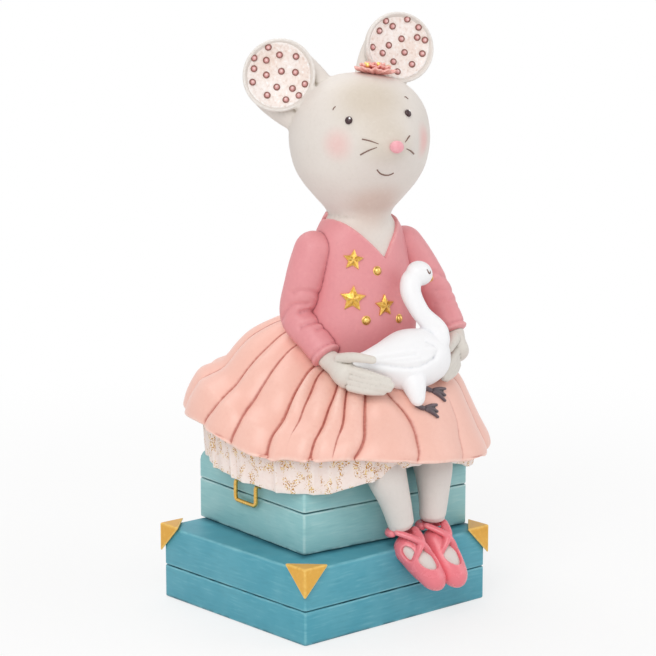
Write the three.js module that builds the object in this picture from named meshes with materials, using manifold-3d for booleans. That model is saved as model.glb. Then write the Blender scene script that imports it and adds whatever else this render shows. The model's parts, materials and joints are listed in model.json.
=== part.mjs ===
// Mouse money box: a seated mouse in a ballet dress, holding a swan, on two stacked travelling cases.
// The cases are hollow and hold the coins. Coins go in through the slot in the back of the upper case
// and come out through the stoppered hole in the base of the lower case.
// Millimetres and degrees. +Z is up, the mouse faces -Y, and +X is the mouse's left.
import * as THREE from "three";
import { mergeVertices } from "three/addons/utils/BufferGeometryUtils.js";
import Module from "manifold-3d";

const wasm = await Module();
wasm.setup();

// Fits
const gap = 0.3; // between two pieces that touch
const stopperClearance = 0.35; // round the stopper in its hole

// Cases
const wall = 3.2; // thickness of the cast walls
const lowerWidth = 81.4;
const lowerDepth = 74.6;
const lowerTrayHeight = 11.2;
const lowerLidHeight = 13.5;
const lowerEdge = 1.1; // rounding of the lower case's edges
const upperWidth = 69.2;
const upperDepth = 62.6;
const upperTrayHeight = 13.8;
const upperLidHeight = 11.4;
const upperEdge = 0.9;
const upperCrown = 5.2; // rounding of the upper lid's top edge
const upperTurn = -5; // the upper case sits a little askew
const upperX = 7.7;
const upperY = 4.5;
const throatWidth = 46; // opening between the two hollows
const throatDepth = 38;
const slotWidth = 36; // a coin slot that passes every common coin
const slotHeight = 4.8;
const slotBelowSeam = 8; // lower edge of the slot
const cornerLeg = 9.6; // length of a corner cap along each edge
const cornerThick = 1.1;
const handleWidth = 12;
const handleDrop = 7;
const handleRod = 0.75; // radius of the bail's rod
const handleStand = 1.5; // how far the bail stands off the wall
const handlePin = 1.6; // how far its ends go into the wall
const handleAboveSeam = 4.4;
const seamEase = 0.3; // the walls are drawn in by this much along a seam
const footEase = 0.5;
const hollowRound = 3;
const roofRound = 2;
const throatRound = 4;
const slotRound = 1.2;
const overcut = 1; // a cut runs past the face that it opens by this much

// Stopper
const stopperHole = 14; // radius of the emptying hole
const flangeRadius = 17.6;
const flangeThick = 1.6;
const flangeRecess = 0.7; // the flange lies this far inside the base
const plugHeight = 5.2;
const baseFloor = 4.6; // floor of the lower case, thick enough for the flange's seat

// Skirt and petticoat
const skirtX = 0.5; // centre of the skirt from the centre of the upper case
const skirtY = -1.7;
const skirtRadius = 53.4;
const skirtThick = 2;
const lapAt = 49; // direction in which the skirt falls most steeply
const waistEase = 1.4; // the skirt's waist stands off the bodice by this much
const waistRise = 43; // waist above the seat
const foldDepth = 2.3;
const petticoatEase = 3.9; // room between the petticoat's rim and the skirt's inside
const petticoatFlare = 1.2; // wider by this much under the hem
const petticoatInset = 2.8; // its dome lies this far under the skirt's folds
const bandLeast = 2; // least height of its fluted band
const fluteCount = 48;
const fluteDepth = 0.55;

// Mouse: the neck stands over this point, from the centre of the upper case
const figureX = 0.5;
const figureY = -13;
const bodiceHeight = 40.7; // from the waist to the neckline
const bodiceTuck = 10.4; // its foot goes this far below the waist
const bodiceWidth = 20; // half its width at the fullest
const bodiceDepth = 16.2; // half its depth there
const necklineWidth = 15; // half the width of the V at the top
const necklineDepth = 15.5;
const skinUnder = 1.2; // the skin in the V lies this far under the bodice's surface
const neckRadius = 10.9;
const neckLength = 24.5; // from the neckline to the centre of the head
const headRadius = 23.5;
const headTop = 21.9; // crown above the centre of the head
const headTurn = -20; // the head looks to the mouse's right
const snoutLength = 6.7;
const snoutSpread = 26; // degrees to each side
const snoutHeight = 8.5;
const noseRadius = 2.2;
const eyeRadius = 1.35;
const earWidth = 12.3; // half the width of an ear
const liningRadius = 11;
const liningThick = 0.9;
const liningSink = 1.4; // the lining's middle lies this far behind its edge
const earLip = 1.2; // the ear closes the dish towards the head with a lip of this thickness
const liningUp = 0.5; // place of its middle in the ear
const liningOut = 1.2;
const dotRadius = 0.8;
const flowerRadius = 7;
const flowerHeight = 3;
const flowerSink = 0.9; // its foot lies this far under the top of the head
const petalCount = 9;
const petalNotch = 0.16; // depth between two petals, as a share of the flower's radius
const beadRadius = 0.9;

// Arms and legs
const sleeveRadius = 6.2;
const cuffRadius = 5;
const wristRadius = 3.4;
const palmRadius = 4.3;
const fingerRadius = 1.4;
const fingerPitch = 1.9;
const thumbRadius = 1.9;
const cuffCover = 1.8; // the hand runs this far up the sleeve
const kneeRadius = 6.9;
const kneeStand = 1.6; // the knees stand off the upper case by this much
const thighLength = 17;
const thighRise = 7.5; // the thighs lie this far over the seat
const ankleRadius = 4.3;
const kneeRight = 12; // from the middle of the figure
const kneeLeft = 9.3;
const ankleSpread = 13.6;
const ankleRise = 6.1; // above the lower case
const shoeThick = 1;
const footLength = 22.5;
const strapRadius = 1.1;
const strapSpread = 4.2;

// Swan
const swanLength = 39;
const swanHeight = 9.6; // half the height of its body
const swanDepth = 8;
const swanNeck = 3.2; // radius of its neck
const swanRise = 16; // its middle over the lap
const footLift = 0.8; // middle of its webs over the lap

// Ornaments
const starThick = 1.1;
const studRadius = 1.45;

// Levels and centres that follow from the sizes above
const lowerTop = lowerTrayHeight + gap + lowerLidHeight;
const upperBase = lowerTop + gap;
const upperSeam = upperBase + upperTrayHeight + gap;
const seatZ = upperSeam + upperLidHeight;
const petticoatRadius = skirtRadius - skirtThick - foldDepth - petticoatEase;
const skirtCentre = new THREE.Vector3(upperX + skirtX, upperY + skirtY, seatZ);
const waistZ = seatZ + waistRise;
const neckZ = waistZ + bodiceHeight;
const bodiceFoot = waistZ - bodiceTuck;
const figure = new THREE.Vector3(upperX + figureX, upperY + figureY, neckZ);
const headCentre = new THREE.Vector3(figure.x, figure.y, neckZ + neckLength);

const vec = (x, y, z) => new THREE.Vector3(x, y, z);
const radians = THREE.MathUtils.degToRad;
const halfTurn = THREE.MathUtils.radToDeg(Math.PI);
const fullTurn = 2 * halfTurn;
const lerp = THREE.MathUtils.lerp;

// Meshes from rings of points

function signedVolume(points, index) {
  let sum = 0;
  for (let k = 0; k < index.length; k += 3) {
    const [a, b, c] = [points[index[k]], points[index[k + 1]], points[index[k + 2]]];
    sum += a.dot(b.clone().cross(c));
  }
  return sum;
}

function meshFrom(points, index) {
  const turned = signedVolume(points, index) < 0 ? [...index].reverse() : index;
  const geometry = new THREE.BufferGeometry().setFromPoints(points);
  geometry.setIndex(turned);
  return geometry;
}

// A skin over rings that all have the same number of points, closed at both ends or joined into a ring
function loft(rings, endless = false) {
  const sides = rings[0].length;
  const points = rings.flat();
  const index = [];
  const spans = endless ? rings.length : rings.length - 1;
  for (let row = 0; row < spans; row += 1) {
    const here = row * sides;
    const there = ((row + 1) % rings.length) * sides;
    for (let side = 0; side < sides; side += 1) {
      const next = (side + 1) % sides;
      index.push(here + side, here + next, there + next);
      index.push(here + side, there + next, there + side);
    }
  }
  if (!endless) {
    const last = (rings.length - 1) * sides;
    const ends = [rings[0], rings[rings.length - 1]];
    ends.forEach((ring, end) => {
      const centre = ring.reduce((sum, p) => sum.add(p), vec(0, 0, 0)).divideScalar(sides);
      const hub = points.push(centre) - 1;
      for (let side = 0; side < sides; side += 1) {
        const next = (side + 1) % sides;
        if (end === 0) index.push(hub, next, side);
        else index.push(hub, last + side, last + next);
      }
    });
  }
  return meshFrom(points, index);
}

// A level ring: pointAt gives the radius, or x and y, for a direction in radians
function ringOf(sides, pointAt) {
  return Array.from({ length: sides }, (_, side) => pointAt((side / sides) * 2 * Math.PI));
}

// A round-ended limb along a smooth line, with its radius and flatness at even stations
function limb({
  through,
  radii,
  flat = 1,
  up = vec(0, 0, 1),
  sides = 12,
  steps = 10,
  ends = [1, 1],
  round = 3,
}) {
  const line = new THREE.CatmullRomCurve3(through, false, "centripetal");
  const width = new THREE.SplineCurve(radii.map((radius, k) => new THREE.Vector2(k, radius)));
  const length = line.getLength();
  const stations = [];
  const first = (radii[0] * ends[0]) / length;
  const last = (radii[radii.length - 1] * ends[1]) / length;
  const rounding = [[0.15], [0.05, 0.45], [0.03, 0.3, 0.65]][round - 1];
  for (const u of rounding) stations.push({ at: u * first, end: Math.sqrt(u * (2 - u)) });
  for (let k = 0; k <= steps; k += 1) {
    stations.push({ at: lerp(first, 1 - last, k / steps), end: 1 });
  }
  for (const u of [...rounding].reverse()) {
    stations.push({ at: 1 - u * last, end: Math.sqrt(u * (2 - u)) });
  }
  const rings = stations.map(({ at, end }) => {
    const centre = line.getPointAt(at);
    const along = line.getTangentAt(at);
    const across = vec(0, 0, 0).crossVectors(up, along).normalize();
    const rise = vec(0, 0, 0).crossVectors(along, across);
    const radius = width.getPoint(at).y * end;
    const squash = Array.isArray(flat) ? lerp(flat[0], flat[1], at) : flat;
    return ringOf(sides, (turn) =>
      centre
        .clone()
        .addScaledVector(across, radius * Math.cos(turn))
        .addScaledVector(rise, radius * squash * Math.sin(turn)),
    );
  });
  return loft(rings);
}

// An egg: half-sizes along x, y and z, then turned and placed
function egg(sizes, place, turn = new THREE.Euler(), sides = 16, rows = 10) {
  const geometry = new THREE.SphereGeometry(1, sides, rows);
  geometry.scale(sizes.x, sizes.y, sizes.z);
  geometry.applyMatrix4(new THREE.Matrix4().makeRotationFromEuler(turn).setPosition(place));
  return geometry;
}

// A profile of radius and height, turned about +Z
function revolve(profile, sides) {
  const lathe = new THREE.LatheGeometry(profile.map(([r, z]) => new THREE.Vector2(r, z)), sides);
  lathe.rotateX(Math.PI / 2);
  const merged = weld(lathe);
  const { position } = merged.attributes;
  const points = [];
  for (let k = 0; k < position.count; k += 1) points.push(vec(0, 0, 0).fromBufferAttribute(position, k));
  return meshFrom(points, [...merged.index.array]);
}

// The same mesh with its faces moved out by a margin
function swell(geometry, margin) {
  const merged = weld(geometry);
  merged.computeVertexNormals();
  const { position, normal } = merged.attributes;
  for (let k = 0; k < position.count; k += 1) {
    position.setXYZ(
      k,
      position.getX(k) + normal.getX(k) * margin,
      position.getY(k) + normal.getY(k) * margin,
      position.getZ(k) + normal.getZ(k) * margin,
    );
  }
  merged.deleteAttribute("normal");
  return merged;
}

function weld(geometry) {
  const copy = geometry.clone();
  copy.deleteAttribute("normal");
  copy.deleteAttribute("uv");
  return mergeVertices(copy, 1e-5);
}

// Solids for joining and cutting

function solid(geometry) {
  const merged = weld(geometry);
  const mesh = new wasm.Mesh({
    numProp: 3,
    vertProperties: new Float32Array(merged.attributes.position.array),
    triVerts: new Uint32Array(merged.index.array),
  });
  mesh.merge();
  return new wasm.Manifold(mesh);
}

const join = (solids) => solids.reduce((sum, next) => sum.add(next));
const cut = (body, ...tools) => tools.reduce((rest, tool) => rest.subtract(tool), body);
const solidOf = (forms, margin = 0) =>
  join(forms.map((form) => solid(margin ? swell(form, margin) : form)));

// Only the largest piece that a cut leaves
function mainPiece(body) {
  const pieces = body.decompose();
  return pieces.reduce((best, piece) => (piece.volume() > best.volume() ? piece : best));
}

function geometryOf(body) {
  const { vertProperties, triVerts, numProp } = body.getMesh();
  const geometry = new THREE.BufferGeometry();
  const points = new Float32Array((vertProperties.length / numProp) * 3);
  for (let k = 0; k < points.length / 3; k += 1) {
    points.set(vertProperties.slice(k * numProp, k * numProp + 3), k * 3);
  }
  geometry.setAttribute("position", new THREE.BufferAttribute(points, 3));
  geometry.setIndex([...triVerts]);
  return geometry;
}

// Finishes of the real object
const paint = (color, roughness = 0.55, metalness = 0) =>
  new THREE.MeshStandardMaterial({ color, roughness, metalness });
const finish = {
  darkTeal: paint(0x3f93a5),
  lightTeal: paint(0x93c6c8),
  ochre: paint(0xdca43a, 0.5),
  gold: paint(0xc89b3c, 0.35, 0.8),
  peach: paint(0xf2b8ab),
  petticoat: paint(0xf6e3de),
  rose: paint(0xdb8a90),
  fur: paint(0xd8cdc4),
  lining: paint(0xf2e6df),
  nose: paint(0xe58fa0, 0.4),
  eye: paint(0x3a2226, 0.3),
  coral: paint(0xee8c84),
  swan: paint(0xf4f4f6),
  beak: paint(0xe8a24a),
  webbed: paint(0x4a4044),
  tights: paint(0xd5cdc8),
  shoe: paint(0xe8707e, 0.4),
  rubber: paint(0x5a5a5c, 0.8),
};

const model = new THREE.Group();

function piece(name, body, material, parent = model) {
  const geometry = body.isBufferGeometry ? body : geometryOf(body);
  geometry.computeVertexNormals();
  const mesh = new THREE.Mesh(geometry, material);
  mesh.name = name;
  parent.add(mesh);
  return mesh;
}

// Travelling cases

// A block with rounded upright edges: levels give its height and how far it is drawn in there
function block(width, depth, round, levels) {
  const perCorner = 3;
  const rings = levels.map(([z, inset]) => {
    const radius = Math.max(round - inset, 0.3);
    const halfX = width / 2 - inset - radius;
    const halfY = depth / 2 - inset - radius;
    const points = [];
    for (let corner = 0; corner < 4; corner += 1) {
      const [sx, sy] = [[1, 1], [-1, 1], [-1, -1], [1, -1]][corner];
      for (let k = 0; k < perCorner; k += 1) {
        const turn = ((corner + k / (perCorner - 1)) * Math.PI) / 2;
        points.push(vec(sx * halfX + radius * Math.cos(turn), sy * halfY + radius * Math.sin(turn), z));
      }
    }
    return points;
  });
  return solid(loft(rings));
}

// The rounded top edge of a lid, as levels for block
function crown(top, radius, steps = 4) {
  return Array.from({ length: steps + 1 }, (_, k) => {
    const turn = ((k / steps) * Math.PI) / 2;
    return [top - radius * (1 - Math.sin(turn)), radius * (1 - Math.cos(turn))];
  });
}

// Outside of the upper lid, larger all over by a margin
function upperLidOutside(margin = 0) {
  const top = crown(seatZ, upperCrown).map(([z, inset]) => [z + margin, inset - margin]);
  return block(upperWidth, upperDepth, upperEdge + 1.2, [[upperSeam - margin, -margin], ...top]);
}

const placeUpper = (body) => body.rotate([0, 0, upperTurn]).translate([upperX, upperY, 0]);

// The room that the upper case takes up, from a level to just over its lid
function upperRoomFrom(level) {
  const width = upperWidth + 2 * gap;
  const depth = upperDepth + 2 * gap;
  return placeUpper(block(width, depth, upperEdge, [[level, 0], [seatZ + gap, 0]]));
}

// The room that the lower case takes up
function lowerRoom() {
  const width = lowerWidth + 2 * gap;
  const depth = lowerDepth + 2 * gap;
  return block(width, depth, lowerEdge, [[-1, 0], ...crown(lowerTop + gap, lowerEdge, 3)]);
}

// Bail handle on the right end of the upper case, as a rod bent square with its ends in the wall
function handleForm(margin = 0) {
  const face = -upperWidth / 2;
  const out = face - handleStand;
  const half = handleWidth / 2;
  const top = upperSeam + handleAboveSeam;
  const bottom = top - handleDrop;
  const bend = 1.1;
  const corners = [
    vec(face + handlePin, half, top),
    vec(out, half, top),
    vec(out, half, bottom),
    vec(out, -half, bottom),
    vec(out, -half, top),
    vec(face + handlePin, -half, top),
  ];
  const path = new THREE.CurvePath();
  let from = corners[0];
  for (let k = 1; k < corners.length - 1; k += 1) {
    const back = corners[k - 1].clone().sub(corners[k]).normalize();
    const ahead = corners[k + 1].clone().sub(corners[k]).normalize();
    const start = corners[k].clone().addScaledVector(back, bend);
    const finishPoint = corners[k].clone().addScaledVector(ahead, bend);
    path.add(new THREE.LineCurve3(from, start));
    path.add(new THREE.QuadraticBezierCurve3(start, corners[k], finishPoint));
    from = finishPoint;
  }
  path.add(new THREE.LineCurve3(from, corners[corners.length - 1]));
  const section = new THREE.Shape();
  section.absarc(0, 0, handleRod + margin, 0, 2 * Math.PI);
  const options = { steps: 20, curveSegments: 3, extrudePath: path, bevelEnabled: false };
  return new THREE.ExtrudeGeometry(section, options);
}

// Corner cap: the case's own corner, grown and cut off along a plane through the ends of its three legs
function cornerCap(signX, signY) {
  const outside = block(lowerWidth + 2 * cornerThick, lowerDepth + 2 * cornerThick, lowerEdge, [
    [lowerTop - 2 * cornerLeg, 0],
    ...crown(lowerTop + cornerThick, lowerEdge, 2),
  ]);
  const tip = vec(
    signX * (lowerWidth / 2 + cornerThick),
    signY * (lowerDepth / 2 + cornerThick),
    lowerTop + cornerThick,
  );
  const reach = cornerLeg + cornerThick;
  const far = 3 * reach;
  const base = [
    tip.clone().add(vec(-signX * reach, 0, 0)),
    tip.clone().add(vec(0, -signY * reach, 0)),
    tip.clone().add(vec(0, 0, -reach)),
  ];
  const middle = base[0].clone().add(base[1]).add(base[2]).divideScalar(3);
  const outward = tip.clone().sub(middle).normalize();
  const spread = (p) => p.clone().sub(middle).multiplyScalar(4).add(middle);
  const wedge = solid(loft([base.map(spread), base.map((p) => spread(p).addScaledVector(outward, far))]));
  return outside.intersect(wedge);
}

// The hollow inside a case, from its floor up to past the seam or from there up to its roof
const hollow = (width, depth, levels) => block(width - 2 * wall, depth - 2 * wall, hollowRound, levels);

// The walls' lower and upper rims at a seam, a little drawn in
const footRim = (z) => [[z, seamEase], [z + seamEase, 0]];
const topRim = (z) => [[z - seamEase, 0], [z, seamEase]];

// The opening between the two hollows
function throatForm() {
  const levels = [[lowerTop - wall - overcut, 0], [upperBase + wall + overcut, 0]];
  return placeUpper(block(throatWidth, throatDepth, throatRound, levels));
}

function buildLowerCase() {
  const seam = lowerTrayHeight;
  const lidFoot = seam + gap;
  const tray = cut(
    block(lowerWidth, lowerDepth, lowerEdge, [[0, footEase], [footEase, 0], ...topRim(seam)]),
    hollow(lowerWidth, lowerDepth, [[baseFloor, 0], [seam + overcut, 0]]),
    stopperForm(stopperClearance, true),
  );
  const lid = cut(
    block(lowerWidth, lowerDepth, lowerEdge, [...footRim(lidFoot), ...crown(lowerTop, lowerEdge, 3)]),
    hollow(lowerWidth, lowerDepth, [[lidFoot - overcut, 0], [lowerTop - wall, 0]]),
    throatForm(),
  );
  piece("lower_case_tray", tray, finish.darkTeal);
  piece("lower_case_lid", lid, finish.darkTeal);
}

function buildCornerCaps() {
  const corners = { front_right: [-1, -1], front_left: [1, -1], back_right: [-1, 1] };
  const room = lowerRoom();
  const above = upperRoomFrom(lowerTop);
  for (const [name, [signX, signY]] of Object.entries(corners)) {
    piece(`case_corner_${name}`, cut(cornerCap(signX, signY), room, above), finish.ochre);
  }
}

function buildUpperCase() {
  const slotZ = upperSeam - slotBelowSeam;
  const slot = block(slotWidth, 4 * wall, slotRound, [[slotZ, 0], [slotZ + slotHeight, 0]]);
  const tray = cut(
    block(upperWidth, upperDepth, upperEdge, [...footRim(upperBase), ...topRim(upperSeam - gap)]),
    hollow(upperWidth, upperDepth, [[upperBase + wall, 0], [upperSeam + overcut, 0]]),
    slot.translate([0, upperDepth / 2, 0]),
  );
  const roof = seatZ - wall;
  const lid = cut(
    upperLidOutside(),
    hollow(upperWidth, upperDepth, [[upperSeam - overcut, 0], [roof - roofRound, 0], [roof, roofRound]]),
    solid(handleForm(gap)),
  );
  piece("upper_case_tray", cut(placeUpper(tray), throatForm()), finish.lightTeal);
  piece("upper_case_lid", placeUpper(lid), finish.lightTeal);
  piece("case_handle", placeUpper(solid(handleForm())), finish.gold);
}

// Rubber stopper: a plug with a flange that seats in a recess under the base
function stopperForm(clearance = 0, hole = false) {
  const seat = flangeRecess + flangeThick;
  const under = hole ? -1 : flangeRecess;
  const top = hole ? baseFloor + 1 : flangeRecess + plugHeight;
  const profile = [
    [0, under],
    [flangeRadius - 0.3 + clearance, under],
    [flangeRadius + clearance, Math.max(under + 0.3, 0.1)],
    [flangeRadius + clearance, seat + (hole ? gap : 0)],
    [stopperHole - stopperClearance + clearance, seat + (hole ? gap : 0)],
    [stopperHole - stopperClearance + clearance, top - 0.6],
    [stopperHole - stopperClearance + clearance - (hole ? 0 : 0.6), top],
    [0, top],
  ];
  return solid(revolve(profile, 22));
}

// Skirt: a smooth bell whose height falls towards the mouse's left knee, with folds laid over it

// Radius and height of the bell at the back and at the front, from waist to hem, as shares of its reach
const bellBack = [
  [0, -0.05], [0.2, 0.01], [0.41, 0.15], [0.53, 0.29], [0.65, 0.48],
  [0.77, 0.56], [0.87, 0.63], [0.96, 0.83], [1, 1],
];
const bellFront = [
  [0, 0.03], [0.3, 0.18], [0.56, 0.33], [0.71, 0.54], [0.84, 0.74], [0.97, 0.92], [1, 1],
];
const foldAt = [-168, -148, -125, -104, -84, -68, -56, -43, -33, -13, 12, 38, 62, 84, 104, 124, 146, 168];
const foldSharpness = 0.6; // below 1 the lobes are round and the valleys sharp
const foldGrowth = 0.8; // the folds deepen from the waist to the hem

// Top edge of the skirt: direction and height over the waist
const waistLine = closedLine([
  [-180, 4], [-131, 4], [-104, -2], [-72, -9.5], [-40, -10.4], [0, -9.4], [49, -4.4], [90, -3], [135, 2],
]);

// Hem of the skirt: direction and height over the seat
const hemLine = closedLine([
  [-180, 15.2], [-127, 15.4], [-103, 15], [-84, 11.4], [-67, 8], [-45, 8.6],
  [-25, 8.2], [0, 5.2], [28, 2.2], [50, 2.4], [90, 6], [135, 12],
]);

// Lower edge of the petticoat: direction, height over the seat and radius beyond the petticoat's own
const rimLine = closedLine([
  [-180, 0.6, -1], [-138, 0.6, -0.8], [-97, -2, 0.6], [-71, -4, 1.4], [-57, -4.6, 1.7],
  [-43, -3.6, 1.4], [-29, -0.8, 0.8], [-12, 3, 0.4], [10, 2.6, 0], [25, -1, 0.8],
  [42, -4.2, 1.4], [60, -3.8, 0.8], [95, -2, 0], [138, 0.6, -0.8],
]);

function closedLine(rows) {
  const points = rows.map(([direction, height, out = 0]) => vec(direction, height, out));
  const before = points.slice(-2).map((p) => vec(p.x - fullTurn, p.y, p.z));
  const after = points.slice(0, 2).map((p) => vec(p.x + fullTurn, p.y, p.z));
  return [...before, ...points, ...after];
}

// The same direction between minus and plus half a turn
const wrapped = (degrees) => THREE.MathUtils.euclideanModulo(degrees + halfTurn, fullTurn) - halfTurn;

// Height (y) and reach (z) of such a line in a direction
function aroundSkirt(line, degrees) {
  const angle = wrapped(degrees);
  const k = line.findIndex((p, n) => n > 0 && p.x <= angle && line[n + 1].x > angle);
  const share = (angle - line[k].x) / (line[k + 1].x - line[k].x);
  const slope = (n) => line[n + 1].clone().sub(line[n - 1]).divideScalar(line[n + 1].x - line[n - 1].x);
  const span = line[k + 1].x - line[k].x;
  const s2 = share * share;
  const s3 = s2 * share;
  return line[k].clone().multiplyScalar(2 * s3 - 3 * s2 + 1)
    .addScaledVector(slope(k), (s3 - 2 * s2 + share) * span)
    .addScaledVector(line[k + 1], 3 * s2 - 2 * s3)
    .addScaledVector(slope(k + 1), (s3 - s2) * span);
}

const splineOf = (rows) => new THREE.SplineCurve(rows.map(([r, z]) => new THREE.Vector2(r, z)));
const backLine = splineOf(bellBack);
const frontLine = splineOf(bellFront);
const towardsFront = (degrees) => (1 + Math.cos(radians(degrees - lapAt))) / 2;
const hemZ = (degrees) => seatZ + aroundSkirt(hemLine, degrees).y;
const waistHeight = (degrees) => waistZ + aroundSkirt(waistLine, degrees).y;

// A point on the bell, drawn in by an inset. Degrees run from the front, -Y, towards +X.
function bellPoint(degrees, t, inset = 0) {
  const turn = radians(degrees);
  const w = towardsFront(degrees);
  const way = vec(Math.sin(turn), -Math.cos(turn), 0);
  const waistAt = vec(bodiceWidth + waistEase, bodiceDepth + waistEase, 0).multiply(way);
  waistAt.add(vec(figure.x, figure.y, 0));
  const hemAt = vec(skirtCentre.x, skirtCentre.y, 0).addScaledVector(way, skirtRadius);
  const at = (u) => {
    const back = backLine.getPoint(THREE.MathUtils.clamp(u, 0, 1));
    const front = frontLine.getPoint(THREE.MathUtils.clamp(u, 0, 1));
    const place = waistAt.clone().lerp(hemAt, lerp(back.x, front.x, w));
    return place.setZ(lerp(waistHeight(degrees), hemZ(degrees), lerp(back.y, front.y, w)));
  };
  const along = at(t + 0.02).sub(at(t - 0.02)).normalize();
  const across = vec(Math.cos(turn), Math.sin(turn), 0);
  const outward = vec(0, 0, 0).crossVectors(along, across).normalize();
  return at(t).addScaledVector(outward, outward.z < 0 ? inset : -inset);
}

// Depth of the folds at a direction: round lobes between sharp valleys
function foldInset(degrees) {
  const angle = wrapped(degrees);
  let low = foldAt[foldAt.length - 1] - fullTurn;
  let high = foldAt[0] + fullTurn;
  for (const valley of foldAt) {
    if (valley <= angle) low = Math.max(low, valley);
    else high = Math.min(high, valley);
  }
  const share = (angle - low) / (high - low);
  return 1 - Math.pow(Math.sin(Math.PI * share), foldSharpness);
}

// Depth of a fold a share of the way from the waist to the hem
const foldReach = (t) => foldDepth * Math.pow(t, foldGrowth);

// A ring of the skirt, with the folds or without
const skirtRing = (directions, t, inset, folded = false) => directions.map((degrees) => {
  const fold = folded ? foldReach(t) * foldInset(degrees) : 0;
  return bellPoint(degrees, t, inset + fold);
});

// Three directions for each fold, so that every valley is sharp
const overFolds = foldAt.flatMap((valley, k) => {
  const next = k + 1 < foldAt.length ? foldAt[k + 1] : foldAt[0] + fullTurn;
  return [0, 1 / 3, 2 / 3].map((share) => lerp(valley, next, share));
});

function skirtForm() {
  const outer = [0, 0.2, 0.4, 0.58, 0.74, 0.87, 0.96, 1].map((t) => skirtRing(overFolds, t, 0, true));
  const inner = [1, 0.88, 0.5, 0].map((t) => skirtRing(overFolds, t, skirtThick + foldReach(t)));
  return loft([...outer, ...inner], true);
}

// Height of the skirt's top over a place on the lap
function lapHeight(x, y) {
  let best = { away: Infinity, z: 0 };
  for (let degrees = -90; degrees < 90; degrees += 2) {
    for (let t = 0; t <= 1; t += 0.02) {
      const point = bellPoint(degrees, t, foldReach(t) * foldInset(degrees));
      const away = Math.hypot(point.x - x, point.y - y);
      if (away < best.away) best = { away, z: point.z };
    }
  }
  return best.z;
}

// Petticoat: a plain dome inside the skirt and a fluted band that shows under the hem
function petticoatForm() {
  const crests = [...Array(2 * fluteCount).keys()];
  const directions = crests.map((k) => (k / fluteCount) * halfTurn - halfTurn);
  const inset = skirtThick + foldDepth + petticoatInset;
  const top = directions.map((degrees) => bellPoint(degrees, 0.2, inset));
  for (const point of top) point.setZ(Math.min(point.z, bodiceFoot - gap));
  const fluted = (down, out, depth) => directions.map((degrees, k) => {
    const { y: lower, z: reach } = aroundSkirt(rimLine, degrees);
    const radius = petticoatRadius + reach + out + depth * (k % 2 ? -1 : 1);
    const upper = Math.max(hemZ(degrees) - 0.5, seatZ + lower + bandLeast);
    const turn = radians(degrees);
    const place = vec(skirtCentre.x, skirtCentre.y, lerp(upper, seatZ + lower, down));
    return place.add(vec(Math.sin(turn), -Math.cos(turn), 0).multiplyScalar(radius));
  });
  const middle = fluted(0.94, 0, fluteDepth);
  return loft([top, fluted(-0.2, petticoatFlare, 0.2), middle, fluted(1, -0.8, fluteDepth)]);
}

// Bodice: rings with half-width, half-depth and shift forward at heights below the neckline
const torso = [
  { down: 1 + bodiceTuck / bodiceHeight, wide: 0.96, deep: 0.94, forward: 0.4 },
  { down: 0.885, wide: 1, deep: 1, forward: 0.8 },
  { down: 0.656, wide: 0.96, deep: 0.963, forward: 0.8 },
  { down: 0.442, wide: 0.92, deep: 0.877, forward: 0.4 },
  { down: 0.278, wide: 0.89, deep: 0.778, forward: 0 },
  { down: 0.165, wide: 0.83, deep: 0.728, forward: 0 },
  { down: 0.07, wide: 0.7, deep: 0.691, forward: 0 },
  { down: 0, wide: 0.565, deep: 0.673, forward: 0 },
].map(({ down, wide, deep, forward }) => ({
  below: down * bodiceHeight,
  wide: wide * bodiceWidth,
  deep: deep * bodiceDepth,
  forward,
}));

function torsoForm(margin = 0) {
  const rings = torso.map(({ below, wide, deep, forward }) =>
    ringOf(24, (turn) => vec(
      figure.x + (wide + margin) * Math.cos(turn),
      figure.y - forward + (deep + margin) * Math.sin(turn),
      neckZ - below,
    )),
  );
  return loft(rings);
}

// The V of the neckline, open to the front
function necklineWedge(margin = 0) {
  const above = neckZ + 2 * overcut;
  const outline = [
    [-necklineWidth - margin * 1.5, above],
    [necklineWidth + margin * 1.5, above],
    [0, neckZ - necklineDepth - margin * 2],
  ];
  const ringAt = (y) => outline.map(([x, z]) => vec(figure.x + x, figure.y + y, z));
  return solid(loft([ringAt(-2 * bodiceDepth), ringAt(-2)]));
}

// Head: an upside-down pear, round above and drawn in to the neck, with a soft snout
const headLine = new THREE.SplineCurve([
  [headTop, 0.3],
  [headTop - 1.1, 0.34 * headRadius],
  [headTop - 5, 0.706 * headRadius],
  [headTop - 11, 0.911 * headRadius],
  [headTop - 17, 0.987 * headRadius],
  [headTop - headRadius, headRadius],
  [-0.388 * neckLength, 0.928 * headRadius],
  [-0.6 * neckLength, 0.804 * headRadius],
  [-0.812 * neckLength, 0.621 * headRadius],
  [-neckLength, neckRadius],
  [-1.29 * neckLength, neckRadius - 0.6],
  [-1.57 * neckLength, neckRadius - 0.8],
].map(([height, radius]) => new THREE.Vector2(height, radius)));

// How far the snout stands out, from the direction that the head faces and the height
function snoutOut(degrees, height) {
  const away = Math.pow(degrees / snoutSpread, 2) + Math.pow(height / snoutHeight, 2);
  return snoutLength * Math.exp(-away);
}

function headForm(margin = 0) {
  const facing = radians(headTurn);
  const rings = headLine.getPoints(15).map(({ x: height, y: radius }) =>
    ringOf(24, (turn) => {
      const off = THREE.MathUtils.radToDeg(Math.atan2(Math.sin(turn - facing), Math.cos(turn - facing)));
      const reach = radius + snoutOut(off, height) + margin;
      const z = headCentre.z + height + (height > 20 ? margin : 0);
      return vec(headCentre.x + reach * Math.sin(turn), headCentre.y - reach * Math.cos(turn), z);
    }),
  );
  return loft(rings);
}

// Reach of the head's skin from its axis
function skinReach(degrees, height) {
  const line = headLine.getPoints(15);
  const below = line.findIndex((point) => point.x <= height);
  const [upper, lower] = [line[below - 1], line[below]];
  const share = (upper.x - height) / (upper.x - lower.x);
  return lerp(upper.y, lower.y, share) + snoutOut(degrees, height);
}

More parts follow.
